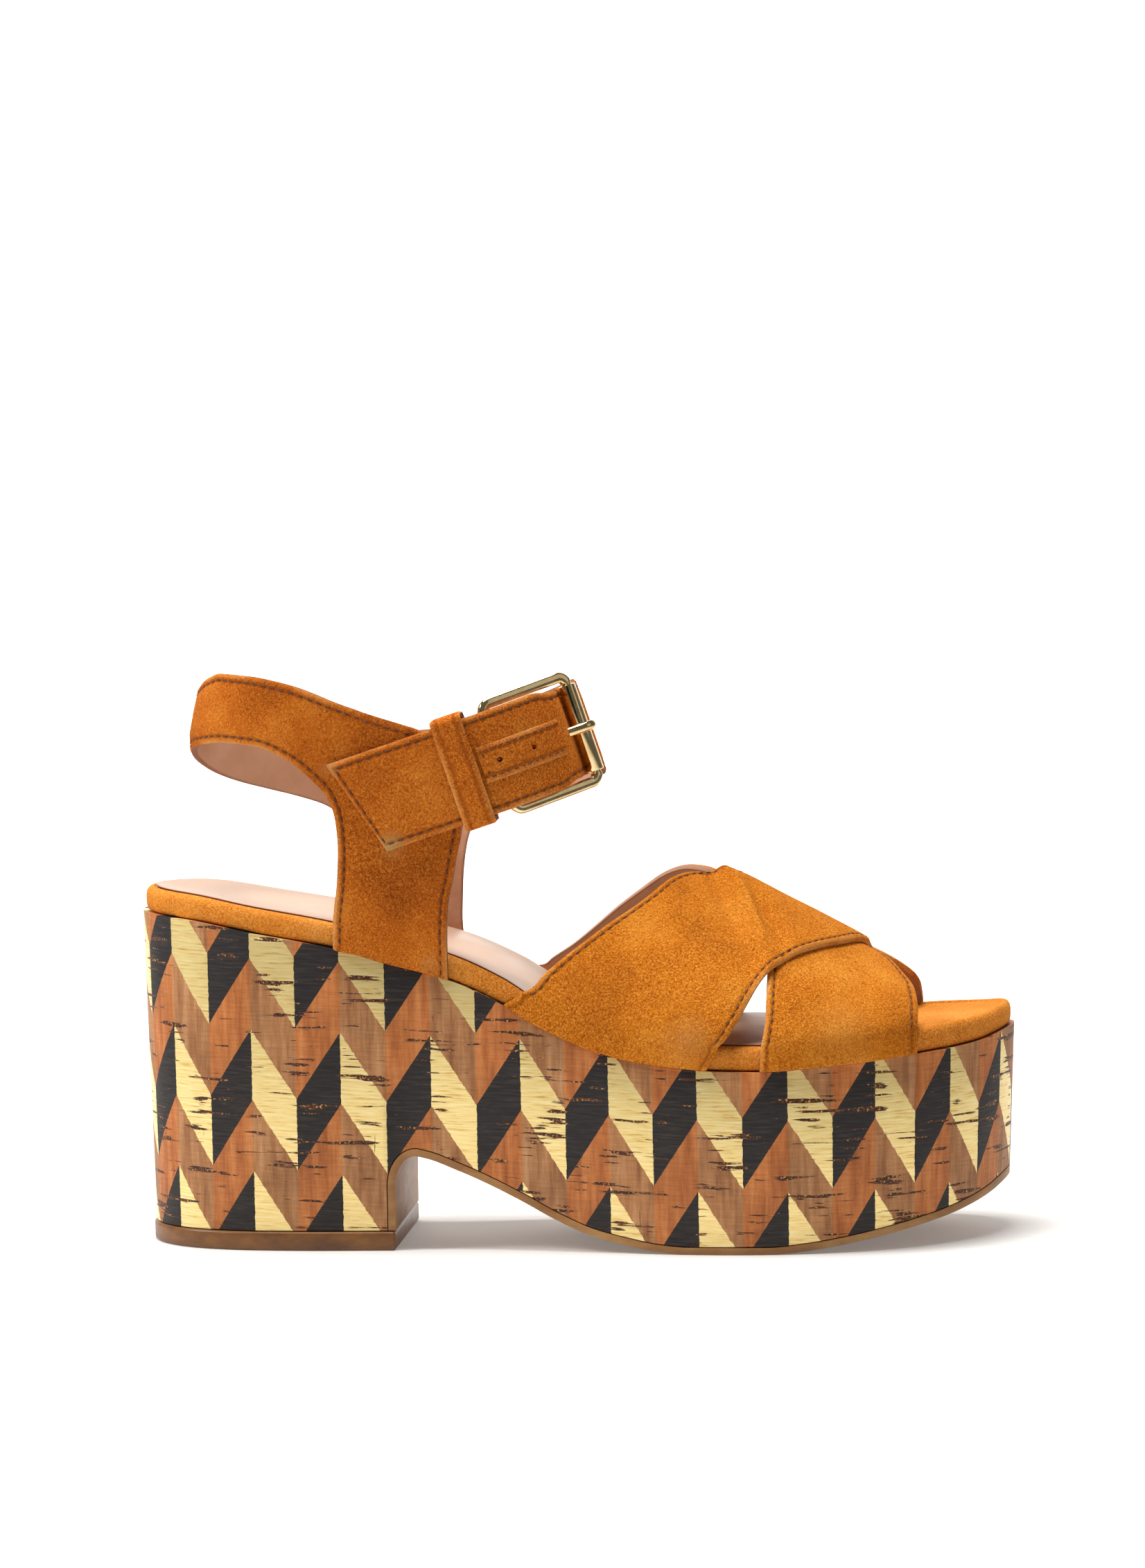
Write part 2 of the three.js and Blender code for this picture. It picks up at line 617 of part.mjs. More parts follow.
function quarterSheet() {
  const tableCut = ([lowX, low, highX, high]) => {
    const x = lowX * shoeLength;
    const z = low === null ? corkTop(x) + clearance : heelHeight + low * ankleRise;
    const top = new THREE.Vector3(highX * shoeLength, 0, heelHeight + high * ankleRise);
    return [new THREE.Vector3(x, 0, z), top];
  };
  const outer = [...tongueSetbacks.map(tongueCut), ...OUTER_QUARTER.map(tableCut)];
  const cuts = [...outer, ...INNER_QUARTER.map(tableCut)].map(([low, high], i) => {
    const side = i < outer.length ? -1 : 1;
    return [side * bandPlace(low.x, low.z), low.z, side * bandPlace(high.x, high.z), high.z];
  });
  const layer = (offset) =>
    cuts.map(([wLow, zLow, wHigh, zHigh]) =>
      Array.from({ length: QUARTER_ROWS + 1 }, (_, j) => {
        const w = lerp(wLow, wHigh, j / QUARTER_ROWS);
        const z = lerp(zLow, zHigh, j / QUARTER_ROWS);
        return bandFace(w, z).addScaledVector(bandNormal(w, z), offset);
      }),
    );
  return sheet(layer(0), layer(leatherWall));
}

// A strip along a path in p and q, with a half width in r and a wall
function strip(path, halfWidth, wall, centre, columns = 4) {
  const normals = path.map((_, i) => {
    const before = path[Math.max(i - 1, 0)];
    const after = path[Math.min(i + 1, path.length - 1)];
    const along = after.clone().sub(before).normalize();
    return new THREE.Vector2(-along.y, along.x);
  });
  const layer = (offset) =>
    path.map((at, i) =>
      Array.from({ length: columns + 1 }, (_, j) => {
        const r = lerp(-1, 1, j / columns);
        const x = at.x + normals[i].x * offset;
        const y = at.y + normals[i].y * offset;
        return new THREE.Vector3(x, y, centre(at) + r * halfWidth(at));
      }),
    );
  return sheet(layer(-wall / 2), layer(wall / 2));
}

// A place beside the buckle: s mm from the hinge bar towards the roller, out from the frame
function besideFrame(s, out) {
  const forward = new THREE.Vector2(Math.cos(frameTurn), Math.sin(frameTurn));
  const outward = new THREE.Vector2(Math.sin(frameTurn), -Math.cos(frameTurn));
  return hingeBar.clone().addScaledVector(forward, s).addScaledVector(outward, out);
}

// Tab of the quarter: out to the hinge bar, round it and back along the quarter's lining
function buckleTab() {
  const eyeRadius = hingeRadius + clearance + tabWall / 2;
  const outerFace = -(ankleHalfWidth + outerBulge);
  const beside = (setback, q) => new THREE.Vector2(hingeBar.x - setback, q);
  const outerLeg = outerFace - leatherWall / 2;
  const path = [beside(outerLegs[0], outerLeg), beside(outerLegs[1], outerLeg + fusedDepth)];
  const foldFrom = -120; // degrees round the bar over which the tab lies on it
  const foldTo = 110;
  for (let turn = foldFrom; turn <= foldTo; turn += (foldTo - foldFrom) / 10) {
    const at = radians(turn);
    path.push(
      new THREE.Vector2(
        hingeBar.x + eyeRadius * Math.cos(at),
        hingeBar.y + eyeRadius * Math.sin(at),
      ),
    );
  }
  const innerLeg = outerFace + tabWall / 2 - fusedDepth;
  path.push(beside(innerLegs[0], innerLeg + 2 * fusedDepth), beside(innerLegs[1], innerLeg));
  const folded = strip(path, () => barHalfLength - sideFreedom, tabWall, () => strapCentre, 1);
  const slotWidth = 2 * (prongEyeHalfWidth + eyeSlotMargin);
  const slotReach = 2 * (eyeRadius + prongEyeWall + tabWall);
  const slot = new THREE.BoxGeometry(slotReach, 1.3 * slotReach, slotWidth);
  slot.translate(hingeBar.x, hingeBar.y, frameCentre);
  return cut(folded, slot).applyMatrix4(strapFrame);
}

function quarterStrap() {
  return join(quarterSheet(), buckleTab());
}

// Path of the buckle strap: from the inner quarter round the front of the ankle, behind the roller,
// out through the frame and back along the outer quarter. p and q are shares of shoeLength and
// strapSeat; beside the buckle they are mm from the hinge bar and out of the frame
const ROUND_ANKLE = [
  [0.2628, 1.003], [0.3121, 1.006], [0.3614, 0.994], [0.3984, 0.976], [0.4271, 0.921],
  [0.46, 0.805], [0.4887, 0.646], [0.5154, 0.445], [0.5355, 0.226], [0.547, -0.015],
  [0.5454, -0.183],
];
const OVER_QUARTER = [
  [0.4353, -1.04], [0.4066, -1.042], [0.3696, -1.028], [0.3285, -1.016],
];
const strapPlaces = (table) =>
  table.map(([p, q]) => new THREE.Vector2(p * shoeLength, q * strapSeat));
const THROUGH_BUCKLE = [
  [barDistance, -behindRoller], [barDistance - 3.3, -2.2], [barDistance - 5.1, 0.5],
  [barDistance - 6.9, 2.9], [barDistance - 9.7, 4.2], [0.44 * barDistance, overHinge + 0.3],
  [0.18 * barDistance, overHinge + 0.3], [0, overHinge],
];
const strapCurve = new THREE.SplineCurve([
  ...strapPlaces(ROUND_ANKLE),
  ...THROUGH_BUCKLE.map(([s, out]) => besideFrame(s, out)),
  ...strapPlaces(OVER_QUARTER),
  new THREE.Vector2(hingeBar.x - tailLength - tailSpare, -strapSeat),
]);
const STRAP_STEPS = 54;

function prongPath() {
  const over = rollerRadius + clearance + prongRadius + prongRest;
  const places = [
    [hingeRadius + clearance + prongEyeWall / 2, 0.03 * over], [0.3 * barDistance, 0.14 * over],
    [0.51 * barDistance, 0.3 * over], [0.7 * barDistance, 0.49 * over],
    [0.84 * barDistance, 0.8 * over], [barDistance, over],
    [barDistance + prongPast, over - prongDip],
  ];
  return new THREE.CatmullRomCurve3(
    places.map(([s, out]) => {
      const at = besideFrame(s, out);
      return new THREE.Vector3(at.x, at.y, frameCentre);
    }),
  );
}

function roundRod(curve, radius, steps) {
  const section = new THREE.Shape().absarc(0, 0, radius, 0, 2 * Math.PI);
  return new THREE.ExtrudeGeometry(section, { steps, extrudePath: curve, curveSegments: 5 });
}

function ankleStrap() {
  const path = strapCurve.getSpacedPoints(STRAP_STEPS);
  const roller = besideFrame(barDistance, 0);
  const halfWidth = (at) => {
    const near = smooth((at.distanceTo(roller) - narrowReach) / narrowing);
    return lerp(frameOpening - sideFreedom, strapHalfWidth, near);
  };
  const fallFrom = -0.5 * ankleHalfWidth;
  const level = (at) => strapCentre - strapFall * smooth((at.y - fallFrom) / (-3 * fallFrom));
  const band = strip(path, halfWidth, leatherWall, level);
  const fromHinge = (at) => at.x - hingeBar.x;
  const patchPath = path.filter(
    (at) =>
      at.y < -0.6 * strapSeat && fromHinge(at) > -patchBack && fromHinge(at) < patchFront,
  );
  const patch = strip(
    patchPath,
    () => patchHalfWidth,
    leatherWall + patchRise,
    level,
    1,
  );
  const endSlope = tailSlant / (2 * strapHalfWidth);
  const endMiddle = hingeBar.x - tailLength + tailSlant / 2;
  const reach = 2 * strapHalfWidth;
  const waste = new THREE.Shape([
    new THREE.Vector2(0, -reach),
    new THREE.Vector2(endMiddle + (reach + strapCentre) * endSlope, -reach),
    new THREE.Vector2(endMiddle - (reach - strapCentre) * endSlope, reach),
    new THREE.Vector2(0, reach),
  ]);
  const knife = new THREE.ExtrudeGeometry(waste, { depth: reach, bevelEnabled: false });
  knife.rotateX(Math.PI / 2).translate(0, -ankleHalfWidth, 0);
  const lifted = (patchRise - fusedDepth) / 2;
  patch.translate(lifted * Math.sin(frameTurn), -lifted * Math.cos(frameTurn), 0);
  const raised = join(band, patch);
  const hole = roundRod(prongPath(), prongRadius + 2 * clearance, 12);
  return cut(cut(raised, knife), hole);
}

function keeperLoop() {
  const inner = {
    out: -(strapSeat + outerBulge + leatherWall / 2 + 2 * clearance),
    back: -(ankleHalfWidth + outerBulge - tabWall - leatherWall / 2),
    low: strapCentre - strapHalfWidth - 2 * clearance,
    high: strapCentre + strapHalfWidth + 2 * clearance,
  };
  const ring = (wall, corner) => {
    const shape = new THREE.Shape();
    const left = inner.out - wall;
    const right = inner.back + wall;
    const low = inner.low - wall;
    const high = inner.high + wall;
    shape.moveTo(left + corner, low).lineTo(right - corner, low);
    shape.absarc(right - corner, low + corner, corner, -Math.PI / 2, 0);
    shape.lineTo(right, high - corner).absarc(right - corner, high - corner, corner, 0, Math.PI / 2);
    shape.lineTo(left + corner, high);
    shape.absarc(left + corner, high - corner, corner, Math.PI / 2, Math.PI);
    shape.lineTo(left, low + corner);
    shape.absarc(left + corner, low + corner, corner, Math.PI, 1.5 * Math.PI);
    return shape;
  };
  const outline = ring(keeperWall, keeperWall + keeperRound);
  outline.holes.push(ring(0, keeperRound));
  const loop = new THREE.ExtrudeGeometry(outline, {
    depth: keeperWidth,
    bevelEnabled: false,
    curveSegments: 4,
  });
  // The section's x is q and its y is r; it runs along p
  const turned = new THREE.Matrix4().makeBasis(
    new THREE.Vector3(0, 1, 0),
    new THREE.Vector3(0, 0, 1),
    new THREE.Vector3(1, 0, 0),
  );
  return loop.applyMatrix4(turned).translate(hingeBar.x - keeperSetback, 0, 0);
}

// The frame: a ring of sections whose size changes from rail to bar
function buckleFrame() {
  const halfHeight = frameHeight / 2 - railHalfWidth;
  const corner = frameCorner;
  const line = new THREE.Path();
  line.moveTo(0, 0).lineTo(0, -(halfHeight - corner));
  line.absarc(corner, -(halfHeight - corner), corner, Math.PI, 1.5 * Math.PI);
  line.lineTo(barDistance - corner, -halfHeight);
  line.absarc(barDistance - corner, -(halfHeight - corner), corner, -Math.PI / 2, 0);
  line.lineTo(barDistance, halfHeight - corner);
  line.absarc(barDistance - corner, halfHeight - corner, corner, 0, Math.PI / 2);
  line.lineTo(corner, halfHeight);
  line.absarc(corner, halfHeight - corner, corner, Math.PI / 2, Math.PI);
  line.closePath();
  const places = line.getPoints(4);
  places.pop();
  const centre = new THREE.Vector2(barDistance / 2, 0);
  const SIDES = 10;
  const sections = places.map((at, i) => {
    const before = places[(i + places.length - 1) % places.length];
    const after = places[(i + 1) % places.length];
    const along = after.clone().sub(before).normalize();
    const outward = new THREE.Vector2(along.y, -along.x);
    if (outward.dot(at.clone().sub(centre)) < 0) outward.negate();
    const onBar = Math.abs(at.y) <= barHalfLength + 0.1;
    const bar = at.x < centre.x ? hingeRadius : rollerBarRadius;
    const width = onBar ? bar : railHalfWidth;
    const depth = onBar ? bar : railHalfDepth;
    return Array.from({ length: SIDES }, (_, k) => {
      const turn = (2 * Math.PI * k) / SIDES;
      const flat = at.clone().addScaledVector(outward, width * Math.cos(turn));
      return new THREE.Vector3(flat.x, depth * Math.sin(turn), flat.y);
    });
  });
  const facets = new Facets();
  sections.forEach((section, i) => {
    const next = sections[(i + 1) % sections.length];
    for (let k = 0; k < SIDES; k++) {
      const up = (k + 1) % SIDES;
      facets.quad(section[k], section[up], next[up], next[k]);
    }
  });
  return facets.geometry();
}

function buckleRoller() {
  const inside = rollerBarRadius + clearance;
  const half = barHalfLength - clearance;
  const profile = [
    [inside, -half], [rollerRadius, -half], [rollerRadius, half], [inside, half], [inside, -half],
  ].map(([radius, height]) => new THREE.Vector2(radius, height));
  return new THREE.LatheGeometry(profile, 20).rotateX(Math.PI / 2);
}

function buckleProng() {
  const inside = hingeRadius + clearance;
  const outer = new THREE.Shape().absarc(0, 0, inside + prongEyeWall, 0, 2 * Math.PI);
  outer.holes.push(new THREE.Path().absarc(0, 0, inside, 0, 2 * Math.PI));
  const eye = new THREE.ExtrudeGeometry(outer, {
    depth: 2 * prongEyeHalfWidth,
    bevelEnabled: false,
    curveSegments: 8,
  });
  eye.translate(hingeBar.x, hingeBar.y, frameCentre - prongEyeHalfWidth);
  return join(eye, roundRod(prongPath(), prongRadius, 12));
}

// Materials
const printedCork = new THREE.MeshStandardMaterial({ color: 0xb07a4a, roughness: 0.7 });
const tanRubber = new THREE.MeshStandardMaterial({ color: 0x9c7b57, roughness: 0.6 });
const brownRubber = new THREE.MeshStandardMaterial({ color: 0x8a5e2e, roughness: 0.45 });
const randSuede = new THREE.MeshStandardMaterial({ color: 0xc4701c, roughness: 0.95 });
const beigeLeather = new THREE.MeshStandardMaterial({ color: 0xd9b48f, roughness: 0.45 });
const ochreSuede = new THREE.MeshStandardMaterial({ color: 0xc8761e, roughness: 0.95 });
const paleGold = new THREE.MeshStandardMaterial({ color: 0xd9b878, roughness: 0.18, metalness: 1 });

function piece(name, geometry, material) {
  const mesh = new THREE.Mesh(geometry, material.clone());
  mesh.name = name;
  return mesh;
}

const sandal = new THREE.Group();
sandal.add(
  piece("cork_platform", corkPlatform(), printedCork),
  piece("outsole", outsole(), tanRubber),
  piece("heel_top_lift", heelTopLift(), brownRubber),
  piece("insole", insole(), randSuede),
  piece("sock_liner", sockLiner(), beigeLeather),
  piece("vamp_straps", vampStraps(), ochreSuede),
  piece("quarter_strap", quarterStrap(), ochreSuede),
);

// The buckle strap and what it carries hang in the tilted frame, the buckle turned in it
const strapGroup = new THREE.Group();
strapGroup.applyMatrix4(strapFrame);
strapGroup.add(
  piece("ankle_strap", ankleStrap(), ochreSuede),
  piece("keeper_loop", keeperLoop(), ochreSuede),
  piece("buckle_prong", buckleProng(), paleGold),
);
const buckleGroup = new THREE.Group();
buckleGroup.position.set(hingeBar.x, hingeBar.y, frameCentre);
buckleGroup.rotation.z = frameTurn;
const roller = piece("buckle_roller", buckleRoller(), paleGold);
roller.position.x = barDistance;
buckleGroup.add(piece("buckle_frame", buckleFrame(), paleGold), roller);
strapGroup.add(buckleGroup);
sandal.add(strapGroup);

// The origin lies on the ground, under the middle of the sandal's box
const box = new THREE.Box3().setFromObject(sandal, true);
const middle = box.getCenter(new THREE.Vector3());
sandal.position.set(-middle.x, -middle.y, -box.min.z);

export default sandal;
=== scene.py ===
import math

import bpy
import numpy as np
from mathutils import Matrix, Vector


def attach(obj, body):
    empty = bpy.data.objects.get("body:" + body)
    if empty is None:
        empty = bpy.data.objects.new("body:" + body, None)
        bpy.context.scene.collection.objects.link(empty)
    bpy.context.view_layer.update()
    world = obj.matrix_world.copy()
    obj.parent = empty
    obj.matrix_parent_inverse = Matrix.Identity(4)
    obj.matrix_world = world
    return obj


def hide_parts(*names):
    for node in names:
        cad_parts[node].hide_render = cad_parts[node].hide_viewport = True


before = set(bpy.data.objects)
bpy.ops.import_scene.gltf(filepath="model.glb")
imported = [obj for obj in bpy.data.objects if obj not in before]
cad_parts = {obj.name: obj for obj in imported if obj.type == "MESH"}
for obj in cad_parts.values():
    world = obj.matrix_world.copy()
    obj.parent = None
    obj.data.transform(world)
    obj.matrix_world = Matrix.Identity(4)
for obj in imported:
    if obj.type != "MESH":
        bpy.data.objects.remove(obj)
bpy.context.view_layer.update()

# Sizes in millimetres, the same as the solids': X from the heel's back, Y from the centre line
MM = 0.001
MIDDLE = np.array([121.749, 0.590, 0.0])  # the solids' own middle, which lies on the row's origin
SHOE_LENGTH = 243.5
BALL_WIDTH = 88.1
HEEL_HEIGHT = 92.8
INSOLE_RISE = 6.6
INSTEP_RISE = 50.0
ANKLE_RISE = 67.1
ANKLE_HALF_WIDTH = 29.5
CLEARANCE = 0.3
CURVED_CLEARANCE = 0.4
HEEL_TAPER = 2.4
SIDE_TAPER = 1.5
OUTSOLE_WALL = 2.0
LIFT_HEIGHT = 5.3
LIFT_OVERHANG = 0.7
BREAST_X = 73.0
WAIST_RISE = 26.4
ARCH_LENGTH = 6.0
ARCH_HEIGHT = 8.4
INSOLE_INSET = 1.0
SOCK_RECESS = 0.6
SOCK_INSET = 3.6
SOCK_WALL = 0.9
SOCK_END = 0.85
FOOTBED_DISH = 1.2
DISH_END = 0.6
LEATHER_WALL = 2.0
STEP_RUN = 5.0
ARCH_CENTRE = 4.0
LATERAL_FULLNESS = 1.55
MEDIAL_FULLNESS = 1.7
ANKLE_CENTRE_X = 57.0
HEEL_BAND_X = 14.2
HEEL_BAND_LEAN = 0.2
LEAN_START = 0.73
FOOT_HOLD = 5.0
ANKLE_START = 0.21
STRAP_TILT = 0.33
STRAP_FALL = 3.0
STRAP_HALF_WIDTH = 14.0
STRAP_CENTRE = 1.9
OUTER_BULGE = 1.1
INNER_TUCK = 1.5
TONGUE_SETBACKS = (6.3, 10.8, 14.6)
TONGUE_INSET = 0.8
TAIL_LENGTH = 45.3
TAIL_SLANT = 8.5
TAIL_SPARE = 4.0
TAIL_RUN = 26.0  # length over which the free end takes on its slant
NARROWING = 6.0
NARROW_REACH = 9.0
PATCH_HALF_WIDTH = 5.2
PATCH_RISE = 0.7
PATCH_BACK = 4.6
PATCH_FRONT = 17.2
FREE_HOLES = (9.6, 0.6)
HOLE_RADIUS = 0.75
KEEPER_WIDTH = 9.0
KEEPER_WALL = 1.5
KEEPER_ROUND = 0.7
KEEPER_SETBACK = 14.3
FRAME_CENTRE = 2.0
FRAME_HEIGHT = 33.5
BAR_DISTANCE = 27.3
RAIL_HALF_WIDTH = 1.5
RAIL_HALF_DEPTH = 1.2
HINGE_RADIUS = 1.4
ROLLER_BAR_RADIUS = 1.2
ROLLER_RADIUS = 2.1
ROLLER_FULLNESS = 0.25  # the real roller is fuller than the solid by this
FRAME_CORNER = 2.4
TAB_WALL = 1.2
SIDE_FREEDOM = 1.05
PRONG_RADIUS = 1.1
PRONG_EYE_WALL = 1.3
PRONG_EYE_HALF_WIDTH = 1.5
PRONG_SPREAD = 1.25  # the real prong is broader than the solid by this
PRONG_REST = 0.2
PRONG_PAST = 3.1
PRONG_DIP = 0.8
HINGE_P = 0.451 * SHOE_LENGTH
HINGE_Q = 0.7 - ANKLE_HALF_WIDTH
FRAME_TURN = math.atan2(0.545, 0.839)
STRAP_SEAT = ANKLE_HALF_WIDTH + 1.5 * LEATHER_WALL + CLEARANCE
FRAME_OPENING = FRAME_HEIGHT / 2 - 2 * RAIL_HALF_WIDTH
BAR_HALF_LENGTH = FRAME_HEIGHT / 2 - RAIL_HALF_WIDTH - FRAME_CORNER
OVER_HINGE = HINGE_RADIUS + PRONG_EYE_WALL + LEATHER_WALL / 2 + 3 * CLEARANCE
BEHIND_ROLLER = ROLLER_RADIUS + LEATHER_WALL / 2 + 0.8

# Plan outline of the platform's upper edge, as shares of the shoe's length and the ball's width
OUTLINE = np.array([
    [0, 0.0057], [0.0148, -0.1476], [0.0513, -0.2611], [0.1088, -0.3326], [0.1869, -0.361],
    [0.2731, -0.3632], [0.3676, -0.3632], [0.4579, -0.3882], [0.54, -0.4336], [0.6181, -0.4767],
    [0.692, -0.4949], [0.7659, -0.479], [0.8357, -0.4177], [0.8994, -0.3156], [0.9487, -0.1816],
    [0.9836, -0.017], [1, 0.1589], [0.9918, 0.3008], [0.961, 0.4143], [0.9035, 0.4824],
    [0.8296, 0.5051], [0.7474, 0.5017], [0.6612, 0.4767], [0.5708, 0.4313], [0.4764, 0.3859],
    [0.3737, 0.3575], [0.271, 0.3575], [0.1848, 0.3553], [0.1068, 0.3269], [0.0505, 0.2531],
    [0.0148, 0.1453],
]) * [SHOE_LENGTH, BALL_WIDTH]
TOE_ENTRY = 16
CORK_TOP = [
    [0.0111, 1], [0.0657, 0.9903], [0.1417, 0.9547], [0.2341, 0.9095], [0.3039, 0.8556],
    [0.3655, 0.8125], [0.4296, 0.736], [0.4559, 0.6918], [0.4908, 0.6476], [0.5339, 0.6034],
    [0.5774, 0.5744], [0.6214, 0.5593], [0.6653, 0.5496], [0.7228, 0.5463], [0.7721, 0.5528],
    [0.8337, 0.5647], [0.8932, 0.5797], [0.9598, 0.5948], [1.0008, 0.6207],
]
TREAD = [
    [0.3244, 1], [0.3409, 0.9621], [0.3696, 0.8561], [0.3984, 0.7424], [0.4435, 0.5379],
    [0.4846, 0.3371], [0.5257, 0.178], [0.5667, 0.0833], [0.6037, 0.0227], [0.6366, 0],
    [0.7269, 0], [0.7721, 0.0341], [0.8337, 0.1174], [0.8953, 0.2311], [0.9363, 0.3258],
    [0.9713, 0.447], [0.9979, 0.5985],
]
CROWN = [
    [0.4312, 0.7411], [0.4805, 0.8659], [0.5421, 0.9382], [0.5873, 0.9383], [0.616, 0.9186],
    [0.6407, 0.8799], [0.6776, 0.8153], [0.7105, 0.7347], [0.7556, 0.612], [0.8008, 0.4797],
    [0.8255, 0.4049], [0.8501, 0.3423], [0.8706, 0.2886], [0.8953, 0.2251], [0.924, 0.163],
]
# Edges of the vamp straps: degrees round the foot, share of the shoe's length
UPPER_BACK = [
    [-1, 0.4292], [0, 0.4476], [19, 0.4825], [40, 0.5425], [55, 0.5893], [67, 0.6144],
    [79, 0.6431], [90, 0.6715], [101, 0.692], [114, 0.7084], [128, 0.7207], [142, 0.7269],
    [160, 0.7269], [180, 0.7228], [181, 0.7207],
]
UPPER_FRONT = [
    [-1, 0.6608], [0, 0.6747], [14.5, 0.6957], [33, 0.7207], [46, 0.7495], [57, 0.7782],
    [68.6, 0.8029], [80, 0.8164], [93, 0.8279], [109, 0.848], [126, 0.8705], [142, 0.884],
    [158, 0.8885], [180, 0.8897], [181, 0.8885],
]
LOWER_BACK = [
    [-1, 0.7207], [0, 0.7224], [20, 0.7273], [38, 0.7273], [52, 0.7187], [66, 0.7014],
    [79, 0.6797], [90, 0.6591], [102, 0.6374], [115, 0.6078], [126, 0.5811], [140, 0.5441],
    [161, 0.4887], [171, 0.4628], [180, 0.4456], [181, 0.4271],
]
LOWER_FRONT = [
    [-1, 0.8924], [0, 0.8936], [25, 0.8945], [50, 0.8891], [71, 0.8698], [85, 0.8505],
    [93, 0.8304], [108, 0.809], [124, 0.7782], [137, 0.7483], [150, 0.722], [165, 0.694],
    [180, 0.6735], [181, 0.6604],
]
# Cuts across the quarter: x and height at the lower edge, then at the upper one; None is the cork
OUTER_QUARTER = [
    [0.3823, 0.331, 0.3388, 0.772], [0.3765, 0.235, 0.3338, 0.778], [0.3733, 0.167, 0.3288, 0.785],
    [0.3663, 0.033, 0.3228, 0.791], [0.3651, -0.101, 0.3165, 0.798], [0.3655, None, 0.3103, 0.805],
    [0.3326, None, 0.3005, 0.816], [0.2998, None, 0.2915, 0.826], [0.2669, None, 0.283, 0.836],
    [0.2349, None, 0.275, 0.846], [0.2357, -0.012, 0.2695, 0.853], [0.2398, 0.137, 0.264, 0.861],
    [0.2415, 0.286, 0.2545, 0.873], [0.239, 0.405, 0.2385, 0.895], [0.2308, 0.495, 0.2165, 0.928],
    [0.2107, 0.578, 0.191, 0.959], [0.1815, 0.657, 0.1655, 0.98], [0.1446, 0.708, 0.138, 0.995],
    [0.1047, 0.718, 0.1043, 1], [0.0784, 0.705, 0.0858, 0.975], [0.0624, 0.68, 0.0723, 0.933],
]
INNER_QUARTER = [
    [0.0571, 0.644, 0.0641, 0.897], [0.0624, 0.602, 0.069, 0.87], [0.0801, 0.542, 0.0842, 0.842],
    [0.1027, 0.502, 0.1068, 0.812], [0.1326, 0.466, 0.1396, 0.782], [0.1684, 0.428, 0.1766, 0.753],
    [0.2021, 0.382, 0.2074, 0.73], [0.2279, 0.286, 0.2259, 0.718], [0.2361, 0.152, 0.2382, 0.711],
    [0.2357, 0.003, 0.2485, 0.706], [0.2349, None, 0.258, 0.703], [0.2669, None, 0.273, 0.702],
    [0.2998, None, 0.289, 0.702], [0.3326, None, 0.305, 0.704], [0.3614, None, 0.3205, 0.708],
    [0.3565, -0.101, 0.329, 0.711], [0.3581, 0.063, 0.3405, 0.717], [0.3639, 0.227, 0.3515, 0.725],
    [0.3758, 0.346, 0.363, 0.733],
]
# Path of the buckle strap round the ankle and back over the quarter, p and q as shares
ROUND_ANKLE = [
    [0.2628, 1.003], [0.3121, 1.006], [0.3614, 0.994], [0.3984, 0.976], [0.4271, 0.921],
    [0.46, 0.805], [0.4887, 0.646], [0.5154, 0.445], [0.5355, 0.226], [0.547, -0.015],
    [0.5454, -0.183],
]
THROUGH_BUCKLE = [
    [BAR_DISTANCE, -BEHIND_ROLLER], [BAR_DISTANCE - 3.3, -2.2], [BAR_DISTANCE - 5.1, 0.5],
    [BAR_DISTANCE - 6.9, 2.9], [BAR_DISTANCE - 9.7, 4.2], [0.44 * BAR_DISTANCE, OVER_HINGE + 0.3],
    [0.18 * BAR_DISTANCE, OVER_HINGE + 0.3], [0, OVER_HINGE],
]
OVER_QUARTER = [[0.4353, -1.04], [0.4066, -1.042], [0.3696, -1.028], [0.3285, -1.016]]
# The print on the cork
PRINT_COLUMN = 12.55
PRINT_DROP = 19.0
PRINT_BAND = 19.85
PRINT_BASE = [[0, 24.0], [21, 23.5], [71, 21.7], [121, 20.0], [171, 18.3], [210, 18.0], [244, 18.1]]


def smooth(t):
    t = np.clip(t, 0, 1)
    return t * t * (3 - 2 * t)


def mix(a, b, t):
    return a + (b - a) * t


def through(table, x_scale=1.0, y_scale=1.0):
    """Smooth curve through rising first values, which never overshoots its entries."""
    xs = np.array([row[0] for row in table]) * x_scale
    ys = np.array([row[1] for row in table]) * y_scale
    slopes = np.diff(ys) / np.diff(xs)
    tangents = np.empty_like(ys)
    tangents[0], tangents[-1] = slopes[0], slopes[-1]
    product = slopes[:-1] * slopes[1:]
    total = np.where(product > 0, slopes[:-1] + slopes[1:], 1)
    tangents[1:-1] = np.where(product > 0, 2 * product / total, 0)

    def curve(x):
        x = np.asarray(x, float)
        i = np.clip(np.searchsorted(xs, x) - 1, 0, len(xs) - 2)
        run = xs[i + 1] - xs[i]
        t = np.clip((x - xs[i]) / run, 0, 1)
        square, cube = t * t, t * t * t
        inside = ys[i] * (2 * cube - 3 * square + 1) + ys[i + 1] * (3 * square - 2 * cube)
        inside += run * (tangents[i] * (cube - 2 * square + t) + tangents[i + 1] * (cube - square))
        before = tangents[0] * np.minimum(x - xs[0], 0)
        return inside + before + tangents[-1] * np.maximum(x - xs[-1], 0)

    return curve


cork_top = through(CORK_TOP, SHOE_LENGTH, HEEL_HEIGHT)
tread_height = through(TREAD, SHOE_LENGTH, WAIST_RISE)
crown_at = through(CROWN, SHOE_LENGTH, INSTEP_RISE)


def insole_top(x):
    return cork_top(x) + CLEARANCE + INSOLE_RISE


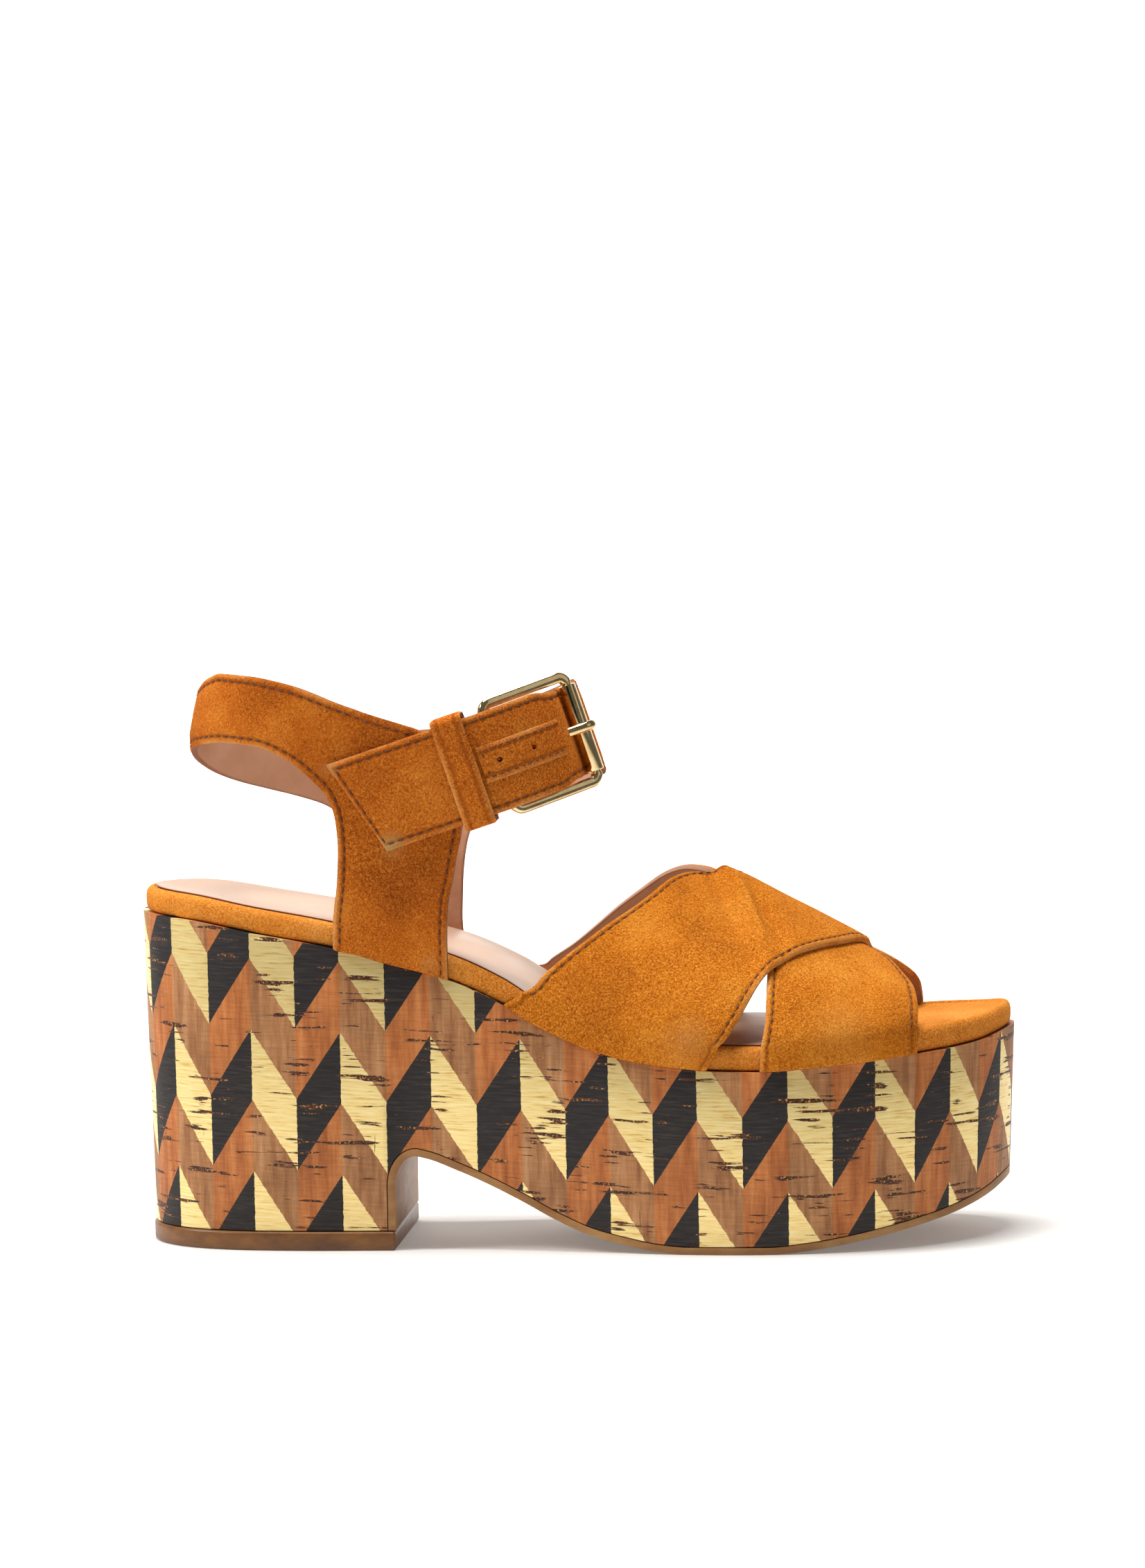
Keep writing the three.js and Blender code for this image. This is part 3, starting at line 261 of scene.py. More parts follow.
def outline(count):
    """Places round the platform's upper edge with their inward directions, heel's back first."""
    half = count // 2
    i = np.arange(count)
    toe = TOE_ENTRY / len(OUTLINE)
    t = np.where(i <= half, toe * i / half, toe + (1 - toe) * (i - half) / half)
    place = t * len(OUTLINE)
    entry = np.floor(place).astype(int)
    w = (place - entry)[:, None]
    a, b, c, d = (OUTLINE[(entry + k) % len(OUTLINE)] for k in (-1, 0, 1, 2))

    def gap(u, v):
        return (((u - v) ** 2).sum(1) ** 0.25)[:, None]

    g0, g1, g2 = gap(a, b), gap(b, c), gap(c, d)
    t1 = ((b - a) / g0 - (c - a) / (g0 + g1) + (c - b) / g1) * g1
    t2 = ((c - b) / g1 - (d - b) / (g1 + g2) + (d - c) / g2) * g1
    bend, twist = 3 * (c - b) - 2 * t1 - t2, 2 * (b - c) + t1 + t2
    places = b + t1 * w + bend * w**2 + twist * w**3
    along = t1 + 2 * bend * w + 3 * twist * w**2
    along /= np.linalg.norm(along, axis=1)[:, None]
    return places, np.stack([-along[:, 1], along[:, 0]], 1)


RING = 288
RIM, INWARD = outline(RING)


def rim_reach(inset, side):
    """Distance of an inset outline from the centre line at x."""
    ring = RIM + INWARD * inset
    half = ring[: RING // 2 + 1] if side < 0 else np.vstack([ring[:1], ring[RING // 2 :][::-1]])
    xs = np.maximum.accumulate(half[:, 0])
    return lambda x: np.abs(np.interp(x, xs, half[:, 1]))


outer_reach = rim_reach(INSOLE_INSET, -1)
inner_reach = rim_reach(INSOLE_INSET, 1)


def vamp_face(x, angle):
    """The vamp's inner face at x and an angle from the outer foot (0) to the inner foot (180)."""
    x, angle = np.broadcast_arrays(np.asarray(x, float), np.asarray(angle, float))
    outer = angle < 90
    side = np.where(outer, -1, 1)
    reach = np.where(outer, outer_reach(x), inner_reach(x)) + CURVED_CLEARANCE
    below = np.maximum(-angle, angle - 180)
    power = 2 / np.where(outer, LATERAL_FULLNESS, MEDIAL_FULLNESS)
    turn = np.radians(np.clip(angle, 0, 180))
    foot = insole_top(x)
    y = ARCH_CENTRE + side * (reach - side * ARCH_CENTRE) * np.abs(np.cos(turn)) ** power
    z = foot + crown_at(x) * np.sin(turn) ** power
    at_foot = below > 0
    y = np.where(at_foot, side * reach, y)
    z = np.where(at_foot, mix(foot, cork_top(x) + CLEARANCE, below), z)
    return np.stack([x, y, z], -1)


def unit(v):
    return v / np.maximum(np.linalg.norm(v, axis=-1, keepdims=True), 1e-9)


def vamp_normal(x, angle):
    step = 0.5
    lengthwise = vamp_face(x + step, angle) - vamp_face(x - step, angle)
    low = np.clip(angle - step, -1, 180)
    high = np.clip(angle + step, 0, 181)
    return unit(np.cross(lengthwise, vamp_face(x, high) - vamp_face(x, low)))


def past_centre(x):
    run = 0.11 * SHOE_LENGTH
    return smooth((x - ANKLE_CENTRE_X - run / 2) / run)


def back_radius(z):
    lean = HEEL_BAND_LEAN * np.maximum(0, z - HEEL_HEIGHT - LEAN_START * ANKLE_RISE)
    return ANKLE_CENTRE_X - HEEL_BAND_X - lean


def side_reach(side, x, z):
    bulge = np.where(side < 0, OUTER_BULGE, -INNER_TUCK) * past_centre(x)
    foot = np.where(side < 0, outer_reach(x), inner_reach(x)) + CURVED_CLEARANCE
    start, end = insole_top(x) + FOOT_HOLD, HEEL_HEIGHT + ANKLE_START * ANKLE_RISE
    return mix(foot, ANKLE_HALF_WIDTH + bulge, smooth((z - start) / (end - start)))


def band_place(x, z):
    radius = back_radius(z)
    if x >= ANKLE_CENTRE_X:
        return 1 + (x - ANKLE_CENTRE_X) / (radius * math.pi / 2)
    return math.acos(min(1, (ANKLE_CENTRE_X - x) / radius)) / (math.pi / 2)


def band_face(w, z):
    """The quarter's inner face: w is 0 at the heel's back and -1 or 1 where the sides start."""
    side = np.where(w < 0, -1, 1)
    away = np.abs(w)
    radius = back_radius(z)
    turn = np.minimum(away, 1) * math.pi / 2
    straight = ANKLE_CENTRE_X + (away - 1) * radius * math.pi / 2
    bent = ANKLE_CENTRE_X - (radius - LEATHER_WALL) * np.cos(turn)
    x = np.where(away >= 1, straight, bent)
    y = side * side_reach(side, np.maximum(x, ANKLE_CENTRE_X), z) * np.sin(turn)
    return np.stack([x, y, z], -1)


def band_normal(w, z):
    step = 0.02
    around = band_face(w + step, z) - band_face(w - step, z)
    return unit(np.cross(band_face(w, z + 1) - band_face(w, z - 1), around))


# The buckle strap's tilted frame: p ahead, q inwards, r up the strap
FORWARD = unit(np.array([1, 0, STRAP_TILT]))
INSIDE = np.array([0.0, 1.0, 0.0])
UPWARD = np.cross(FORWARD, INSIDE)
STRAP_AXES = np.stack([FORWARD, INSIDE, UPWARD])
STRAP_ORIGIN = np.array([0, 0, HEEL_HEIGHT + 0.624 * ANKLE_RISE - HINGE_P * FORWARD[2]])


def from_strap(points):
    return np.asarray(points, float) @ STRAP_AXES + STRAP_ORIGIN


def with_way(points, way):
    """Places given in the strap's frame, and the one way out that they share."""
    return from_strap(points), np.broadcast_to(np.array(way) @ STRAP_AXES, points.shape)


def beside_frame(s, out):
    forward = np.array([math.cos(FRAME_TURN), math.sin(FRAME_TURN)])
    outward = np.array([math.sin(FRAME_TURN), -math.cos(FRAME_TURN)])
    return np.array([HINGE_P, HINGE_Q]) + forward * s + outward * out


def spline(points, count, even=True):
    """Places along a smooth curve through points, evenly spaced by length."""
    points = np.asarray(points, float)
    t = np.linspace(0, len(points) - 1, 60 * len(points))
    i = np.minimum(np.floor(t).astype(int), len(points) - 2)
    w = (t - i)[:, None]
    last = len(points) - 1
    a, b, c, d = (points[np.clip(i + k, 0, last)] for k in (-1, 0, 1, 2))
    t1, t2 = (c - a) / 2, (d - b) / 2
    fine = b + t1 * w + (3 * (c - b) - 2 * t1 - t2) * w**2 + (2 * (b - c) + t1 + t2) * w**3
    if not even:
        return fine
    return resample(fine, np.linspace(0, 1, count))


def lengths(line):
    steps = np.linalg.norm(np.diff(line, axis=0), axis=1)
    return np.concatenate([[0], np.cumsum(steps)])


def at_length(where, run, values):
    """Values at lengths along a line, from those at its points."""
    return np.stack([np.interp(where, run, column) for column in values.T], -1)


def resample(line, shares):
    run = lengths(line)
    return at_length(np.asarray(shares) * run[-1], run, line)


# Making pieces
def start(name, add, **settings):
    """Adds one primitive, with nothing else selected, under its own name."""
    bpy.ops.object.select_all(action="DESELECT")
    add(**settings)
    piece = bpy.context.object
    piece.name = piece.data.name = name
    return piece


def place(piece, points):
    """Moves a mesh's points to places given in millimetres."""
    metres = (np.asarray(points, float).reshape(-1, 3) - MIDDLE) * MM
    piece.location = (0, 0, 0)
    piece.rotation_euler = (0, 0, 0)
    piece.data.vertices.foreach_set("co", metres.ravel())
    piece.data.update()


def select(*pieces):
    """Selects these pieces alone, the first as the active one."""
    bpy.ops.object.select_all(action="DESELECT")
    for piece in pieces:
        piece.select_set(True)
    bpy.context.view_layer.objects.active = pieces[0]


def edit(piece, *steps):
    """Edit mode with everything selected, then the steps."""
    select(piece)
    bpy.ops.object.mode_set(mode="EDIT")
    bpy.ops.mesh.select_mode(type="VERT")
    bpy.ops.mesh.select_all(action="SELECT")
    for step in steps:
        step()
    bpy.ops.object.mode_set(mode="OBJECT")


def merge(distance):
    """Editing step: joins points that lie within a distance in millimetres."""
    return lambda: bpy.ops.mesh.remove_doubles(threshold=distance * MM)


def turn_outwards():
    """Editing step: all faces look out of the closed shape."""
    bpy.ops.mesh.normals_make_consistent(inside=False)


def modify(piece, kind, **settings):
    """Adds a modifier and applies it."""
    select(piece)
    modifier = piece.modifiers.new(kind.title(), kind)
    for key, value in settings.items():
        setattr(modifier, key, value)
    bpy.ops.object.modifier_apply(modifier=modifier.name)


def bevel(piece, width, segments=2):
    """Rounds the edges that turn by more than 50 degrees."""
    modify(piece, "BEVEL", width=width * MM, segments=segments, limit_method="ANGLE",
           angle_limit=math.radians(50))


def carve(piece, tool, operation):
    """Cuts with another mesh, which is used up."""
    modify(piece, "BOOLEAN", object=tool, operation=operation, solver="EXACT")
    bpy.data.meshes.remove(tool.data)


def finish_piece(piece, surface, slot, *nodes, angle=40):
    """Smooths a piece, gives it its material and sets it on the sandal's one body."""
    select(piece)
    bpy.ops.object.shade_smooth_by_angle(angle=math.radians(angle))
    if not piece.data.materials:
        piece.data.materials.append(surface)
    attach(piece, "root")
    if nodes:
        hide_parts(*nodes)
    return piece


def set_uv(piece, values):
    """UV in metres from one pair per point."""
    layers = piece.data.uv_layers
    layer = layers[0] if layers else layers.new(name="UVMap")
    corners = np.empty(len(piece.data.loops), int)
    piece.data.loops.foreach_get("vertex_index", corners)
    layer.data.foreach_set("uv", (np.asarray(values).reshape(-1, 2)[corners] * MM).ravel())


def grid_piece(name, points):
    """A grid primitive whose points are laid on rows of places."""
    rows, columns = points.shape[:2]
    piece = start(name, bpy.ops.mesh.primitive_grid_add, x_subdivisions=columns - 1,
                  y_subdivisions=rows - 1, size=1)
    place(piece, points)
    return piece


def faces_outwards(piece, points, outwards):
    """Turns the grid over if its first face looks inwards."""
    r, c = points.shape[0] // 2, points.shape[1] // 2
    a = points[r, c + 1] - points[r, c]
    b = points[r + 1, c] - points[r, c]
    if np.dot(np.cross(a, b), outwards[r, c]) < 0:
        edit(piece, bpy.ops.mesh.flip_normals)


EDGE_STEPS = np.array([0, 0.35, 0.8, 1.25, 1.6, 1.9, 2.2, 2.6, 3.3, 4.6])
SEAM_IN = 1.9  # edge to the row of stitches
THREAD_SINK = 0.15  # thread below the leather round it


def edge_shares(width, middle):
    """Shares across a band, close together near its edges."""
    steps = EDGE_STEPS[EDGE_STEPS < 0.4 * width]
    inner = np.linspace(steps[-1], width - steps[-1], middle + 2)[1:-1]
    return np.concatenate([steps, inner, width - steps[::-1]]) / width


def relief(distance, seam=1.0):
    """How far an edge rolls in and a row of stitches pulls the leather down."""
    roll = -0.45 * (1 - smooth(distance / 0.9))
    groove = -0.22 * np.exp(-(((distance - SEAM_IN) / 0.38) ** 2))
    swell = 0.12 * smooth((distance - 2.4) / 3)
    return roll + seam * (groove + swell)


def leather_band(name, rows, surface, width_of, middle, wall, nodes=(), seam=1.0, closed=False,
                 end_gap=lambda k: 99.0, rim=2, outer=None):
    """A strap: surface(row, share) gives a place on its outer face and the way out of it."""
    points, outs, gaps = [], [], []
    for k in range(rows):
        width = width_of(k)
        t = edge_shares(width, middle)
        at, out = surface(k, t)
        points.append(at)
        outs.append(out)
        gaps.append(np.minimum(np.minimum(t, 1 - t) * width, end_gap(k)))
    return leather_sheet(name, np.array(points), np.array(outs), np.array(gaps), wall, nodes, seam,
                         closed, rim, outer)


def leather_sheet(name, points, outs, gaps, wall, nodes=(), seam=1.0, closed=False, rim=2,
                  outer=None):
    """Leather on a grid of places, with the ways out of it and the distances from its edge.

    rim is 0 where the suede is turned over the edge, 1 where the lining is, and 2 where the edge
    is cut and painted; outer is the suede, where it isn't that of the straps.
    """
    face = points + outs * relief(gaps, seam)[:, :, None]
    piece = grid_piece(name, face if closed else points)
    middle_line = points[:, points.shape[1] // 2]
    run = lengths(middle_line)
    uv = np.stack([np.repeat(run[:, None], points.shape[1], 1), gaps], -1)
    set_uv(piece, uv)
    faces_outwards(piece, points, outs)
    for leather in (outer or SUEDE, LINING, CUT_EDGE):
        piece.data.materials.append(leather)
    if closed:
        edit(piece, merge(0.02))
    modify(piece, "SOLIDIFY", thickness=wall * MM, offset=-1,
           material_offset=1, material_offset_rim=rim)
    if not closed:
        place(piece, np.stack([face, points - outs * wall]))
    bevel(piece, 0.35)
    return finish_piece(piece, SUEDE, "suede", *nodes, angle=50)


def stitches(name, lines, pitch=2.8, length=2.0, thickness=0.5):
    """One row of thread for each line of places with their ways out, all in one piece."""
    seed = start(name, bpy.ops.mesh.primitive_uv_sphere_add, segments=6, ring_count=5, radius=1)
    shape = np.array([v.co[:] for v in seed.data.vertices])
    shape = shape[:, [2, 0, 1]] * [length / 2, thickness / 2, thickness / 2]
    shape[:, 2] -= 0.12 * (shape[:, 0] / (length / 2)) ** 2
    faces = [list(p.vertices) for p in seed.data.polygons]
    points, polygons = [], []
    for line, out in lines:
        run = lengths(line)
        count = max(1, int(run[-1] / pitch))
        at = (np.arange(count) + 0.5) * run[-1] / count
        centre = at_length(at, run, line)
        forward = unit(at_length(at + 0.6, run, line) - at_length(at - 0.6, run, line))
        up = unit(at_length(at, run, out))
        side = unit(np.cross(up, forward))
        up = np.cross(forward, side)
        for c, f, s, u in zip(centre, forward, side, up):
            base = len(points) * len(shape)
            points.append(c + shape @ np.stack([f, s, u]))
            polygons.extend([[base + i for i in face] for face in faces])
    mesh = bpy.data.meshes.new(name)
    metres = (np.concatenate(points) - MIDDLE) * MM
    mesh.from_pydata(metres.tolist(), [], polygons)
    old = seed.data
    seed.data = mesh
    bpy.data.meshes.remove(old)
    seed.location = (0, 0, 0)
    return finish_piece(seed, THREAD, "suede", angle=180)


# Materials
def linear(code):
    """Linear colour from sRGB hex."""
    parts = [int(code[i : i + 2], 16) / 255 for i in (1, 3, 5)]
    return tuple(c / 12.92 if c <= 0.04045 else ((c + 0.055) / 1.055) ** 2.4 for c in parts) + (1,)


def node(tree, kind, inputs=None, stops=(), **settings):
    """Adds a node with its settings; inputs are values, or nodes to link, by socket."""
    made = tree.nodes.new("ShaderNode" + kind)
    for key, value in settings.items():
        setattr(made, key, value)
    for key, value in (inputs or {}).items():
        if isinstance(value, bpy.types.Node):
            value = next(output for output in value.outputs if output.enabled)
        if isinstance(value, bpy.types.NodeSocket):
            tree.links.new(value, made.inputs[key])
        else:
            made.inputs[key].default_value = linear(value) if isinstance(value, str) else value
    for i, (position, colour) in enumerate(stops):
        elements = made.color_ramp.elements
        stop = elements[i] if i < 2 else elements.new(position)
        stop.position, stop.color = position, linear(colour)
    return made


def material(name, **surface):
    """A new material with its shader set; returns it with its tree and shader."""
    made = bpy.data.materials.new(name)
    made.use_nodes = True
    shader = made.node_tree.nodes["Principled BSDF"]
    for key, value in surface.items():
        socket = shader.inputs[key.replace("_", " ")]
        socket.default_value = linear(value) if isinstance(value, str) else value
    return made, made.node_tree, shader


def wear(tree, shader, **sockets):
    """Links nodes to the shader's own sockets."""
    for key, value in sockets.items():
        output = next(output for output in value.outputs if output.enabled)
        tree.links.new(output, shader.inputs[key.replace("_", " ")])


def suede(name, dark, base, light, scuff, spots=()):
    """Split leather brushed on a wheel: short nap in tufts and patches, paler where rubbed, with
    painted highlights and painted shade among the tufts and painted shade along the row of
    stitches.
    """
    made, tree, shader = material(name, Roughness=0.95, Sheen_Weight=0.16, Sheen_Roughness=0.4,
                                  Sheen_Tint="#f0a850", Specular_IOR_Level=0.04, IOR=1.45)
    places = node(tree, "TexCoord").outputs["Object"]
    uv = node(tree, "UVMap").outputs["UV"]
    gap = node(tree, "SeparateXYZ", {"Vector": uv}).outputs["Y"]
    # Fibres of 0.1 mm stand together in tufts of about 0.5 mm
    tufts = node(tree, "TexNoise", {"Vector": places, "Scale": 1 / 0.0005, "Detail": 2.0,
                                              "Roughness": 0.65})
    brushed = node(tree, "TexNoise", {"Vector": places, "Scale": 1 / 0.022,
                                                "Detail": 3.0, "Roughness": 0.55})
    patches = node(tree, "TexNoise", {"Vector": places, "Scale": 1 / 0.05, "Detail": 2.0})
    fine = node(tree, "ValToRGB", {"Fac": tufts}, stops=[(0.3, dark), (0.5, base), (0.7, light)])
    broad = node(tree, "ValToRGB", {"Fac": brushed}, stops=[(0.3, dark), (0.5, base), (0.7, light)])
    share = node(tree, "MapRange", {0: patches, 1: 0.35, 2: 0.65, 3: 0.2, 4: 0.5})
    flat = node(tree, "Mix", {0: share, 6: fine, 7: broad}, data_type="RGBA")
    # Painted highlights on single tufts that catch the light, and painted shade in the gaps between
    # tufts
    tips = node(tree, "TexNoise", {"Vector": places, "Scale": 1 / 0.0009, "Detail": 1.0})
    bright = node(tree, "MapRange", {0: tips, 1: 0.66, 2: 0.74, 3: 0.0, 4: 0.2})
    painted_tuft_highlight = node(tree, "Mix", {0: bright, 6: flat, 7: light}, data_type="RGBA")
    shaded = node(tree, "MapRange", {0: tips, 1: 0.28, 2: 0.38, 3: 0.5, 4: 0.0})
    nap = node(tree, "Mix", {0: shaded, 6: painted_tuft_highlight, 7: dark}, data_type="RGBA")
    # Rubbed within 1.6 mm of an edge, and painted shade in the groove where the row of stitches
    # pulls the leather down
    rub = node(tree, "MapRange", {0: gap, 1: 0.0, 2: 0.0014, 3: 0.8, 4: 0.0})
    broken = node(tree, "MapRange", {0: brushed, 1: 0.42, 2: 0.62, 3: 0.0, 4: 0.75})
    rubbing = node(tree, "Math", {0: rub, 1: broken}, operation="MULTIPLY")
    rubbed = node(tree, "Mix", {0: rubbing, 6: nap, 7: scuff}, data_type="RGBA")
    off = node(tree, "Math", {0: gap, 1: SEAM_IN * MM}, operation="SUBTRACT")
    near = node(tree, "Math", {0: off}, operation="ABSOLUTE")
    # Painted shade: the suede is darkened along the stitch groove
    seam = node(tree, "MapRange", {0: near, 1: 0.0002, 2: 0.0008, 3: 0.45, 4: 0.0})
    colour = node(tree, "Mix", {0: seam, 6: rubbed, 7: dark}, data_type="RGBA")
    # Marks, most of them wear: each has a place, a reach, a strength and a colour, and ragged edges
    for at, reach, strength, stain in spots:
        centre = tuple((np.asarray(at) - MIDDLE) * MM)
        away = node(tree, "VectorMath", {0: places, 1: centre}, operation="DISTANCE")
        ragged = node(tree, "Math", {0: tufts, 1: 0.9 * reach * MM}, operation="MULTIPLY")
        edge = node(tree, "Math", {0: away.outputs["Value"], 1: ragged}, operation="ADD")
        mark = node(tree, "MapRange", {0: edge, 1: 0.4 * reach * MM, 2: 1.5 * reach * MM,
                                                 3: strength, 4: 0.0})
        colour = node(tree, "Mix", {0: mark, 6: colour, 7: stain}, data_type="RGBA")
    bump = node(tree, "Bump", {"Height": tufts, "Strength": 0.8, "Distance": 0.0004})
    soft = node(tree, "Bump", {"Height": brushed, "Strength": 0.5, "Distance": 0.001,
                                         "Normal": bump})
    wear(tree, shader, Base_Color=colour, Normal=soft)
    return made


def smooth_leather(name, dark, base, light, roughness, coat):
    """Pigment-finished leather: fine pores, soft clouds, and a thin lacquer worn matt in places."""
    made, tree, shader = material(name, Coat_Weight=coat, Coat_Roughness=0.25, IOR=1.5,
                                  Specular_IOR_Level=0.25)
    places = node(tree, "TexCoord").outputs["Object"]
    uv = node(tree, "UVMap").outputs["UV"]
    gap = node(tree, "SeparateXYZ", {"Vector": uv}).outputs["Y"]
    pores = node(tree, "TexVoronoi", {"Vector": places, "Scale": 1 / 0.0011})
    tone = node(tree, "TexNoise", {"Vector": places, "Scale": 1 / 0.02, "Detail": 5.0,
                                             "Roughness": 0.6})
    clouds = node(tree, "ValToRGB", {"Fac": tone}, stops=[(0.3, dark), (0.52, base), (0.72, light)])
    # Edges darken where thread and glue draw them in
    rim = node(tree, "MapRange", {0: gap, 1: 0.0001, 2: 0.0007, 3: 0.6, 4: 0.0})
    colour = node(tree, "Mix", {0: rim, 6: clouds, 7: "#7a4a30"}, data_type="RGBA")
    worn = node(tree, "MapRange", {0: tone, 1: 0.3, 2: 0.7, 3: roughness - 0.08,
                                             4: roughness + 0.12})
    bump = node(tree, "Bump", {"Height": pores.outputs["Distance"], "Strength": 0.25,
                                         "Distance": 0.0002})
    wear(tree, shader, Base_Color=colour, Roughness=worn, Normal=bump)
    return made


def rubber(name, dark, base, light, roughness, depth=0.0):
    """Moulded rubber: even colour with faint clouds, a fine skin, and a darker band within 2.2 mm
    of the ground.
    """
    made, tree, shader = material(name, Roughness=roughness, IOR=1.5, Subsurface_Weight=depth,
                                  Subsurface_Scale=0.004)
    shader.inputs["Subsurface Radius"].default_value = (1.0, 0.55, 0.25)
    places = node(tree, "TexCoord").outputs["Object"]
    stretched = node(tree, "Mapping", {"Vector": places, "Scale": (1.0, 1.0, 2.5)})
    tone = node(tree, "TexNoise", {"Vector": stretched, "Scale": 1 / 0.014,
                                             "Detail": 5.0, "Roughness": 0.6})
    grain = node(tree, "TexNoise", {"Vector": places, "Scale": 1 / 0.0006, "Detail": 3.0})
    clouds = node(tree, "ValToRGB", {"Fac": tone}, stops=[(0.3, dark), (0.5, base), (0.7, light)])
    # Darker within 2.2 mm of the ground, broken up by the clouds
    height = node(tree, "SeparateXYZ", {"Vector": places}).outputs["Z"]
    low = node(tree, "MapRange", {0: height, 1: 0.0, 2: 0.0022, 3: 0.55, 4: 0.0})
    darker_near_ground = node(tree, "Math", {0: low, 1: tone}, operation="MULTIPLY")
    colour = node(tree, "Mix", {0: darker_near_ground, 6: clouds, 7: "#4a3a2c"}, data_type="RGBA")
    bump = node(tree, "Bump", {"Height": grain, "Strength": 0.2, "Distance": 0.0002})
    wear(tree, shader, Base_Color=colour, Normal=bump)
    return made


def plated_brass(name):
    """Zinc casting plated in pale gold: mirror polish with faint wiping marks and scratches."""
    made, tree, shader = material(name, Metallic=1.0)
    places = node(tree, "TexCoord").outputs["Object"]
    marks = node(tree, "TexNoise", {"Vector": places, "Scale": 1 / 0.004, "Detail": 6.0,
                                              "Roughness": 0.7})
    tone = node(tree, "ValToRGB", {"Fac": marks}, stops=[(0.35, "#d3b27a"), (0.65, "#ecd6a6")])
    wiped = node(tree, "MapRange", {0: marks, 1: 0.3, 2: 0.7, 3: 0.06, 4: 0.13})
    drawn = node(tree, "Mapping", {"Vector": places, "Scale": (1.0, 1.0, 0.08)})
    scratches = node(tree, "TexNoise", {"Vector": drawn, "Scale": 1 / 0.0004, "Detail": 2.0})
    bump = node(tree, "Bump", {"Height": scratches, "Strength": 0.012, "Distance": 0.0001})
    wear(tree, shader, Base_Color=tone, Roughness=wiped, Normal=bump)
    return made


def cotton_thread(name):
    """Waxed thread, dark brown, with painted light and shade standing in for the twist of its
    plies.
    """
    made, tree, shader = material(name, Roughness=0.6, IOR=1.5)
    places = node(tree, "TexCoord").outputs["Object"]
    # Painted light and shade in place of the twisted plies' relief
    twist = node(tree, "TexNoise", {"Vector": places, "Scale": 1 / 0.0005, "Detail": 2.0})
    tone = node(tree, "ValToRGB", {"Fac": twist}, stops=[(0.35, "#2a1308"), (0.65, "#5e2f14")])
    wear(tree, shader, Base_Color=tone)
    return made


